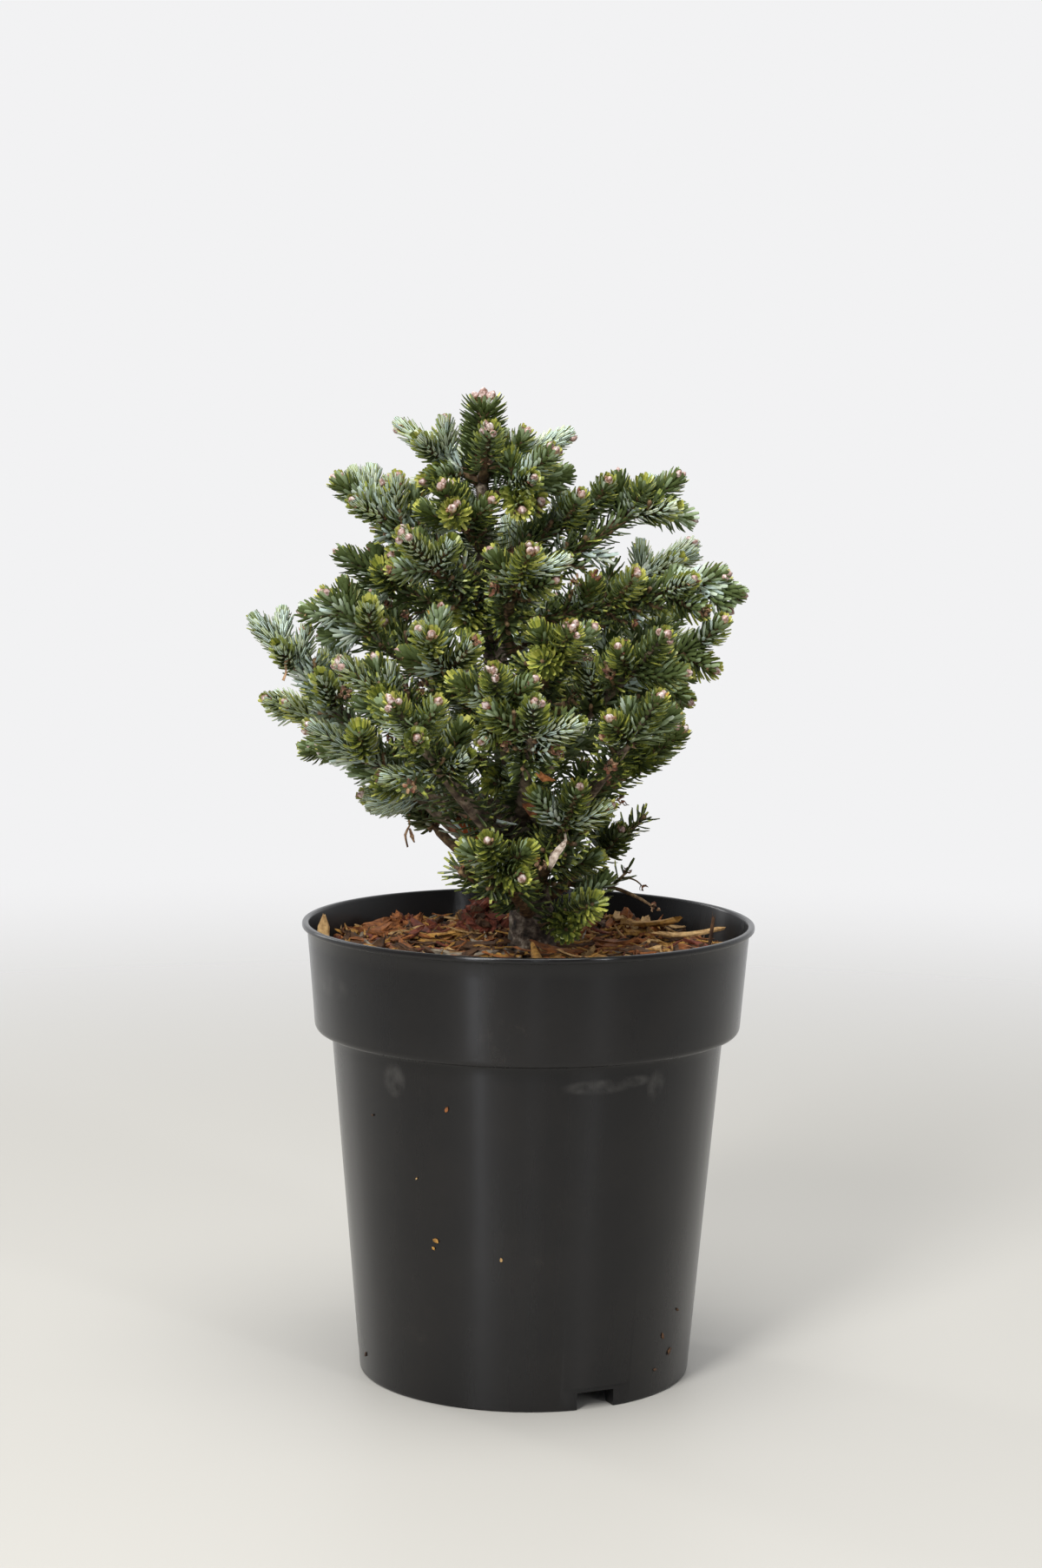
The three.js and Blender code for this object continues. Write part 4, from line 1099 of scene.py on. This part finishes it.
# Dry leaves and shreds caught in the crown: their middle line, half widths along it and colour.
DRY_BITS = [
    ([(12.1, -40, 206.5), (12.3, -44, 204), (10, -47, 201), (8.4, -48.5, 197.8), (7, -47.5, 194.2)],
     (0.35, 0.5, 1.4, 1.9, 1.0), 0),
    ([(-41.5, 17, 209), (-44.6, 14, 205.4), (-44.4, 13, 201.6), (-45.8, 12.4, 198), (-45, 13, 193.6)],
     (0.3, 0.55, 0.4, 1.0, 0.7), 1),
    ([(-44.5, 13.0, 200.5), (-43.4, 12.0, 197.8), (-42.6, 12.6, 195.4)], (0.3, 0.8, 0.3), 1),
    ([(-87.0, -8.0, 266.5), (-89.4, -12.0, 264.2), (-89.0, -14.0, 261.0), (-90.0, -14.0, 257.6)],
     (0.25, 0.4, 0.35, 0.5), 1),
    ([(1.5, -53.0, 229.8), (4.6, -54.5, 228.2), (7.8, -53.0, 226.8)], (0.9, 1.7, 0.6), 2),
    ([(-1.8, -25.0, 215.8), (0.0, -27.0, 213.2), (1.6, -26.0, 210.6)], (1.4, 2.0, 1.2), 3),
    ([(-12.3, -30.0, 209.4), (-8.5, -30.8, 208.8), (-4.8, -30.0, 208.0)], (0.5, 0.7, 0.4), 4),
]


def dry_bit(line, halves, kind):
    """A curled strip: a channel-shaped ribbon of two layers that turns a little along its line."""
    line = smooth_line(np.array(line, float), 9)
    count = len(line)
    halves = np.interp(np.linspace(0, 1, count), np.linspace(0, 1, len(halves)), halves)
    ways, _, _ = frames_along(line)
    turn = (rng.uniform(-0.5, 0.5) + np.linspace(0, rng.uniform(0.5, 1.1), count))[:, None]
    forth = unit(np.cross(ways, (0.2, 1.0, 0.1)))
    across = forth * np.cos(turn) + np.cross(ways, forth) * np.sin(turn)
    out = np.cross(ways, across)
    rows = []
    for layer in (0.14, -0.14):
        for s in np.linspace(-1, 1, 5):
            edge = halves * (1 + 0.12 * rng.normal(size=count))
            rows.append(line + across * (edge * s)[:, None] + out * (layer + 0.55 * halves * s * s)[:, None])
    quads = []
    per_ring, last = len(rows), len(rows) * (count - 1)
    for a in range(0, last, per_ring):
        b = a + per_ring
        for j in range(4):
            quads += [(a + j, a + j + 1, b + j + 1, b + j), (a + 5 + j, b + 5 + j, b + 6 + j, a + 6 + j)]
        quads += [(a, b, b + 5, a + 5), (a + 4, a + 9, b + 9, b + 4)]
    for a, way in ((0, 1), (last, -1)):
        quads += [(a + j, a + 5 + j, a + 6 + j, a + j + 1)[::way] for j in range(4)]
    dry_heap.add(np.stack(rows, 1).reshape(-1, 3), quads, kind)


for branch in crown.branches:
    grow_branch(branch)
grow_more()
grow_leader()
grow_bare_twigs()
for row in DRY_BITS:
    dry_bit(*row)


# ---------------------------------------------------------------- trunk

def grow_trunk():
    """The trunk, fluted at its root flare, with closer rings of points low down where it shows."""
    heights = np.concatenate([np.linspace(TRUNK_FOOT, 200, 60), np.linspace(201, TRUNK_TIP, 110)])
    turns = round_turns(40)
    flute = 1 + 0.1 * np.exp((TRUNK_FOOT - heights) / FLARE_HEIGHT)[:, None] * np.cos(3 * turns)
    outward = np.stack([np.cos(turns), np.sin(turns), 0 * turns], 1)[None]
    tube(bark_heap, trunk_point(heights), outward, trunk_radius(heights)[:, None] * flute, 2, 0.5)


grow_trunk()

BARK = bark_material("bark", LIMB_BARK)
TWIG = speckled_material("twig_bark", TWIG_BARK, 0.8, 500, 5, bump=(0.6, 0.0003))
TRUNK = bark_material("trunk_bark", TRUNK_BARK)
NEEDLE_MATERIALS = [node_material(name, 0.42, colour)[0] for name, colour in GREENS]
NEEDLE_MATERIALS += [node_material(name, 0.8, colour, Specular_IOR_Level=0.2)[0] for name, colour in SILVERS]
NEEDLE_MATERIALS += [node_material(name, 0.5, colour)[0] for name, colour in TIPS]

trunk_piece = bark_heap.build("trunk_and_boughs", [BARK, TWIG, TRUNK])
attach(trunk_piece, "root")
boughs = [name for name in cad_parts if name.startswith("bough_")]
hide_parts("trunk", *boughs)

twig_piece = twig_heap.build("twigs", [TWIG])
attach(twig_piece, "root")

bud_piece = bud_heap.build("buds", [bud_material()])
scale_piece = scale_heap.build("old_bud_scales", [scale_material(*row) for row in SCALE_COLOURS])
dry_piece = dry_heap.build("dry_bits", [scale_material(*row) for row in DRY_COLOURS])
for piece in (bud_piece, scale_piece, dry_piece):
    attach(piece, "root")

foliage_of = [[] for _ in needle_groups]
for branch in crown.branches:
    foliage_of[needle_group(branch)].append("foliage_" + branch.name)
foliage_of[-1].append("foliage_leader")
for number, (needles, nodes_of) in enumerate(zip(needle_groups, foliage_of), 1):
    piece = needles.mesh().build(f"needles_{number}", NEEDLE_MATERIALS)
    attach(piece, "root")
    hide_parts(*nodes_of)


# ---------------------------------------------------------------- pot

def pot_outline():
    """The pot's section as radius and height: up the outside over the lip, and down the inside."""
    ring, foot, body, collar = FOOT_RADIUS - FOOT_RING_WIDTH, FOOT_RADIUS, BODY_TOP_RADIUS, COLLAR_FOOT_RADIUS
    shelf, under, top, lip = COLLAR_FOOT, POT_HEIGHT - LIP_HEIGHT, POT_HEIGHT, LIP_RADIUS
    slope = (COLLAR_TOP_RADIUS - collar) / (under - shelf - 2.4)
    return [
        (0, 0),
        (CENTRE_FOOT_RADIUS, 0),
        (CENTRE_FOOT_RADIUS + 2, FLOOR_RISE),
        (ring, FLOOR_RISE),
        (ring + 1.5, 0),
        *bezier((foot - 1.0, 0), (foot, 0), (foot + 0.05, 1.0), 4),
        (foot + 5.5, 64),
        (body - 0.3, shelf - 4),
        *bezier((body - 0.1, shelf - 1.5), (body, shelf - 0.2), (body + 1.2, shelf), 4),
        *bezier((collar - 2.2, shelf + 0.3), (collar - 0.1, shelf + 0.4), (collar + 0.1, shelf + 2.8), 6),
        (collar + slope * 8, shelf + 10.4),
        (COLLAR_TOP_RADIUS - slope * 6, under - 6),
        (COLLAR_TOP_RADIUS - slope * 0.6, under - 0.6),
        *bezier((COLLAR_TOP_RADIUS + 0.2, under - 0.1), (lip - 0.3, under), (lip - 0.05, under + 0.6), 4),
        *bezier((lip, top - 0.9), (lip, top), (lip - 0.9, top), 5),
        *bezier((lip - 1.7, top), (lip - 2.4, top), (lip - 2.6, top - 1), 5),
        (lip - 3.4, top - 8),
        (collar - 2 * WALL, shelf + 3.6),
        (body - WALL, shelf + 1.6),
        (foot + 0.6 - WALL, FLOOR_TOP),
        (0, FLOOR_TOP),
    ]


def lathe(outline, sides):
    """A round body; its outline starts and ends on the axis."""
    (_, foot), *rings, (_, top) = outline
    turns = round_turns(sides)
    circle = np.stack([np.cos(turns), np.sin(turns)], 1)
    points = [np.concatenate([circle * r, np.full((sides, 1), z)], 1) for r, z in rings]
    quads, triangles = tube_faces(len(rings), sides)
    heap = Heap()
    heap.add(np.concatenate([*points, [(0, 0, foot), (0, 0, top)]]), quads, 0, triangles)
    return heap


def cut_out(pot, size, middle, bearing):
    """Cuts a box out of the pot: its middle is given as at the front, then turned to a bearing."""
    bpy.ops.mesh.primitive_cube_add(size=1)
    box = bpy.context.active_object
    box.data.transform(Matrix.Diagonal((*[s * MM for s in size], 1)))
    box.data.transform(Matrix.Translation([c * MM for c in middle]))
    box.data.transform(Matrix.Rotation(math.radians(bearing), 4, "Z"))
    cut = pot.modifiers.new("cut", "BOOLEAN")
    cut.operation, cut.solver, cut.object = "DIFFERENCE", "EXACT", box
    bpy.context.view_layer.objects.active = pot
    bpy.ops.object.modifier_apply(modifier=cut.name)
    bpy.data.objects.remove(box)


def make_pot():
    pot = lathe(pot_outline(), 192).build("pot_shell", [pot_material()])
    width, height, depth = DRAIN_NICHE
    hole_width, low, high = DRAIN_HOLE
    for bearing in DRAIN_BEARINGS:
        cut_out(pot, (width, 20, height), (0, depth - FOOT_RADIUS - 10, height / 2 - 0.01), bearing)
        cut_out(pot, (hole_width, 20, high - low), (0, 2 - FOOT_RADIUS, (high + low) / 2), bearing)
    pot.data.polygons.foreach_set("use_smooth", np.ones(len(pot.data.polygons), bool))
    pot.data.set_sharp_from_angle(angle=math.radians(38))
    return pot


pot_piece = make_pot()
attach(pot_piece, "root")
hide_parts("pot")


# ---------------------------------------------------------------- soil and mulch

def soil_height(x, y):
    bumps = noise.noise((x * 0.05, y * 0.05, 3.0)) * 1.6 + noise.noise((x * 0.2, y * 0.2, 8.0)) * 0.8
    return SOIL_TOP - 0.4 + bumps


def make_soil():
    """The peat's surface, as rings round the axis closed by a fan."""
    radii = np.concatenate([[2.0], np.linspace(4, COLLAR_FOOT_RADIUS + 0.2, 46)])
    turns = round_turns(150)
    places = [(r * math.cos(turn), r * math.sin(turn)) for r in radii for turn in turns] + [(0, 0)]
    quads, triangles = tube_faces(len(radii), len(turns))
    heap = Heap()
    surface = np.array([(x, y, soil_height(x, y)) for x, y in places])
    heap.add(surface, quads[:, ::-1], 0, triangles[: len(turns), ::-1])
    return heap.build("soil_surface", [speckled_material("peat", PEAT, 0.95, 500, 8, 0.7, (1.0, 0.0012))])


def chip(heap, chance, centre, size, turn, tilts, kind, axes=np.eye(3)):
    """A torn flake of bark: a bent slab with ragged ends."""
    steps, across = 4, 3
    length, width, thick = size
    points = []
    for layer in (1, -1):
        for i in range(steps + 1):
            t = i / steps
            narrow = (1 - 0.75 * abs(2 * t - 1) ** 3.0) * width / 2
            for j in range(across + 1):
                s = 2 * j / across - 1
                ragged = 0.0 if 0 < i < steps else chance.normal(0, 0.10) * length
                y = s * narrow * (1 + chance.normal(0, 0.08))
                z = layer * thick / 2 * (1 - 0.5 * s * s) + 0.12 * length * ((2 * t - 1) ** 2 - 0.4) * 0.5
                points.append(((t - 0.5) * length + ragged, y, z + chance.normal(0, thick * 0.10)))
    columns = across + 1
    under = (steps + 1) * columns
    quads = []
    for a in (i * columns + j for i in range(steps) for j in range(across)):
        b = a + under
        quads += [(a, a + columns, a + columns + 1, a + 1), (b, b + 1, b + columns + 1, b + columns)]
    rim = [i * columns for i in range(steps + 1)] + [steps * columns + j for j in range(1, columns)]
    rim += [i * columns + across for i in range(steps - 1, -1, -1)] + list(range(across - 1, 0, -1))
    quads += [(a, a + under, b + under, b) for a, b in zip(rim, rim[1:] + rim[:1])]
    turned = np.array(Euler((*tilts, turn)).to_matrix()).T @ axes
    heap.add(np.array(points) @ turned + centre, np.array(quads)[:, ::-1], kind)


CHIP_COLOURS = [
    ("chip_rust", (83, 45, 19), (167, 103, 51)),
    ("chip_tan", (122, 88, 49), (205, 169, 113)),
    ("chip_brown", (38, 24, 14), (98, 66, 38)),
    ("chip_ochre", (100, 66, 24), (192, 143, 66)),
    ("chip_red", (68, 28, 17), (126, 62, 39)),
    ("chip_grey", (92, 81, 68), (162, 149, 128)),
]
CHIP_SHARES = [0.26, 0.13, 0.27, 0.28, 0.04, 0.02]
MULCH_RADIUS = 77.5

# Layers of the mulch: pieces, lengths, widths and thicknesses, how high they lie and how they tilt.
MULCH_LAYERS = [
    (640, (2.5, 6.0), (0.3, 0.7), (0.6, 1.4), (0.2, 2.2), 0.35),
    (400, (7.0, 13.0), (0.25, 0.5), (0.8, 1.8), (1.2, 3.6), 0.24),
    (100, (12.0, 21.0), (0.2, 0.42), (1.0, 2.2), (3.0, 5.0), 0.14),
    (430, (5.0, 15.0), (0.06, 0.12), (0.5, 0.9), (3.2, 5.4), 0.16),
]

# Mounds of broken bark: middle, half axes, height, pieces and the colours they are dealt.
MOUNDS = [
    ((-16.5, 36.0), (11.5, 8.0), 14.5, 120, (4, 4, 4, 2)),
    ((-33.0, 40.0), (9.0, 6.0), 6.0, 40, (4, 0, 2, 3)),
    ((-47.0, 50.0), (7.0, 5.0), 7.0, 30, (4, 0)),
    ((36.0, 46.0), (16.0, 8.0), 7.5, 80, (0, 2, 3, 1)),
]

# Pieces that stand out in the photo: place, size, turn and tilts in degrees, and colour.
SINGLE_CHIPS = [
    ((-75.5, -12.0, 164.0), (13, 4.5, 1.2), 80, (4, -74), 1),
    ((67.5, -2.0, 163.5), (1.3, 1.5, 15.0), 10, (8, 6), 2),
    ((60.0, 8.0, 162.8), (24, 4.0, 1.5), 12, (5, -3), 1),
    ((-50.0, -38.0, 162.0), (20, 6, 2), -24, (4, 5), 3),
    ((36.0, -52.0, 161.6), (21, 6, 2), 38, (-4, 3), 0),
    ((47.0, 30.0, 163.0), (22, 8, 2.4), 150, (6, 7), 3),
]


def make_mulch():
    chance = np.random.default_rng(21)
    heap = Heap()
    for count, lengths, ratios, thicknesses, lifts, tilting in MULCH_LAYERS:
        for _ in range(count):
            radius = MULCH_RADIUS * math.sqrt(chance.uniform(0.012, 1))
            angle = chance.uniform(0, 2 * np.pi)
            x, y = radius * math.cos(angle), radius * math.sin(angle)
            length = chance.uniform(*lengths)
            size = (length, length * chance.uniform(*ratios), chance.uniform(*thicknesses))
            in_trunk = math.hypot(x - TRUNK_FOOT_X, y) < 10.5 + length * 0.3
            if in_trunk or radius + length * 0.45 > MULCH_RADIUS + 1:
                continue
            centre = (x, y, soil_height(x, y) + chance.uniform(*lifts))
            kind = int(chance.choice(len(CHIP_COLOURS), p=CHIP_SHARES))
            chip(heap, chance, centre, size, chance.uniform(0, 2 * np.pi), chance.normal(0, tilting, 2), kind)
    for (x, y), (wide, deep), height, count, kinds in MOUNDS:
        for _ in range(count):
            angle, out = chance.uniform(0, 2 * np.pi), math.sqrt(chance.uniform(0, 1))
            place = (x + wide * out * math.cos(angle), y + deep * out * math.sin(angle))
            lift = 1 + height * (1 - out * out) * chance.uniform(0.1, 1)
            length = chance.uniform(3.5, 8.5)
            size = (length, length * chance.uniform(0.4, 0.8), chance.uniform(1.2, 3.0))
            turn, tilts = chance.uniform(0, 2 * np.pi), chance.normal(0, 0.5, 2)
            kind = int(chance.choice(kinds))
            chip(heap, chance, (*place, soil_height(*place) + lift), size, turn, tilts, kind)
    for place, size, turn, tilts, kind in SINGLE_CHIPS:
        chip(heap, chance, place, size, math.radians(turn), np.radians(tilts), kind)
    return heap.build("mulch", [chip_material(*row) for row in CHIP_COLOURS], smooth=False)


# Flakes stuck to the pot's wall: bearing from the front, height, size and colour.
FLAKES = [
    (-29, 62, 1.5, 3), (-30, 59, 0.9, 3), (-24, 111, 1.3, 0), (-8, 57, 1.0, 1), (-35, 84, 0.6, 1),
    (-52, 104, 0.7, 2), (52, 22, 1.4, 2), (57, 15, 1.8, 2), (49, 10, 1.0, 2), (60, 30, 1.0, 2),
    (-70, 9, 1.2, 2), (160, 40, 1.4, 3), (120, 95, 1.1, 2), (205, 66, 1.3, 0), (250, 20, 1.6, 2),
]


def make_flakes():
    chance = np.random.default_rng(33)
    heap = Heap()
    for bearing, height, size, kind in FLAKES:
        radius = FOOT_RADIUS + (BODY_TOP_RADIUS - FOOT_RADIUS) * height / (COLLAR_FOOT - 3) + 0.15
        out = way_to(bearing - 90)
        centre = out * radius + UP * height
        on_the_wall = np.array([np.cross(UP, out), UP, out])
        size = (size * 1.5, size, 0.5)
        chip(heap, chance, centre, size, chance.uniform(0, 6), (0, 0), kind, on_the_wall)
    return heap.build("flakes", [chip_material("flake_" + name, *colours) for name, *colours in CHIP_COLOURS])


soil_piece = make_soil()
mulch_piece = make_mulch()
for piece in (soil_piece, mulch_piece, make_flakes()):
    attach(piece, "root")
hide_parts("soil")


# ---------------------------------------------------------------- camera, stage and light

CAMERA_PLACE = (-0.0179, -1.1821, 0.3565)  # metres, as for the lamps
CAMERA_PITCH = 6.629
CAMERA_YAW = -0.707
CAMERA_ROLL = 0.634
CAMERA_LENS = 74.16
FLOOR_FADE = (0.35, 1.3)  # the distances in metres between which the floor fades into the wall

# The room's own light from the front, dim, round to the white wall behind.
ROOM_LIGHT = [(0.0, (90, 92, 98)), (0.3, (118, 120, 126)), (0.55, (205, 208, 212)), (1.0, (232, 233, 235))]
WALL_COLOUR = (242, 242, 243)

# Lamps: name, place, target, width and height, power, colour.
COOL = (0.86, 0.91, 1)
LAMPS = [
    ("key", (-0.80, -1.55, 1.5), (0, 0, 0.2), (0.5, 1.0), 38, (1, 1, 1)),
    ("fill", (1.15, -1.5, 0.9), (0, 0, 0.2), (0.16, 0.9), 8, (0.94, 0.96, 1)),
    ("side", (-1.2, 1.05, 0.9), (0, 0, 0.2), (0.25, 1.0), 5, (1, 1, 1)),
    ("streak", (-0.93, -1.77, 0.31), (0, 0, 0.08), (0.05, 0.6), 5.6, COOL),
    ("top", (0.0, -0.3, 2.1), (0, 0, 0.25), (1.1, 1.1), 35, (1, 1, 1)),
    ("strip", (0.10, -2.0, 0.42), (0, 0, 0.1), (0.04, 0.6), 1.3, COOL),
]


def add_camera():
    camera = bpy.data.objects.new("camera", bpy.data.cameras.new("camera"))
    camera.data.lens = CAMERA_LENS
    camera.data.sensor_width = 36
    camera.data.clip_end = 60
    turn = Matrix.Rotation(math.radians(CAMERA_YAW), 4, "Z")
    turn @= Matrix.Rotation(math.radians(90 - CAMERA_PITCH), 4, "X")
    turn @= Matrix.Rotation(math.radians(CAMERA_ROLL), 4, "Z")
    camera.matrix_world = Matrix.Translation(CAMERA_PLACE) @ turn
    bpy.context.scene.collection.objects.link(camera)
    bpy.context.scene.camera = camera


def add_floor():
    bpy.ops.mesh.primitive_circle_add(vertices=96, radius=3.0, fill_type="NGON")
    floor = bpy.context.active_object
    floor.name = "floor"
    material, tree, shader = node_material("floor", 0.55, (177, 174, 167))
    away = node(tree, "VectorMath", "Value", node(tree, "TexCoord", "Object"), operation="LENGTH")
    fade = node(tree, "MapRange", "Result", away, *FLOOR_FADE)
    fade.node.interpolation_type = "SMOOTHSTEP"
    clear = node(tree, "BsdfTransparent", "BSDF")
    faded = node(tree, "MixShader", "Shader", fade, shader.outputs["BSDF"], clear)
    put(tree, tree.nodes["Material Output"].inputs["Surface"], faded)
    floor.data.materials.append(material)


def add_light(name, place, target, size, power, colour):
    lamp = bpy.data.objects.new(name, bpy.data.lights.new(name, "AREA"))
    lamp.data.shape = "RECTANGLE"
    lamp.data.size, lamp.data.size_y = size
    lamp.data.energy = power
    lamp.data.color = colour
    lamp.location = place
    lamp.visible_camera = False
    lamp.rotation_euler = (Vector(target) - Vector(place)).to_track_quat("-Z", "Y").to_euler()
    bpy.context.scene.collection.objects.link(lamp)


def add_world():
    """The camera sees an even white wall; what lights the object is the room."""
    world = bpy.data.worlds.new("studio")
    bpy.context.scene.world = world
    world.use_nodes = True
    tree = world.node_tree
    seen = tree.nodes["Background"]
    put(tree, seen.inputs["Color"], rgba(WALL_COLOUR))
    backward = node(tree, "SeparateXYZ", "Y", node(tree, "TexCoord", "Generated"))
    room = ramp(tree, node(tree, "MapRange", "Result", backward, -1.0), *ROOM_LIGHT)
    lit = node(tree, "Background", "Background", room, 1.0)
    by_camera = node(tree, "LightPath", "Is Camera Ray")
    light = node(tree, "MixShader", "Shader", by_camera, lit, seen.outputs["Background"])
    put(tree, tree.nodes["World Output"].inputs["Surface"], light)


add_camera()
add_floor()
add_world()
for lamp in LAMPS:
    add_light(*lamp)
bpy.context.scene.view_settings.view_transform = "Standard"
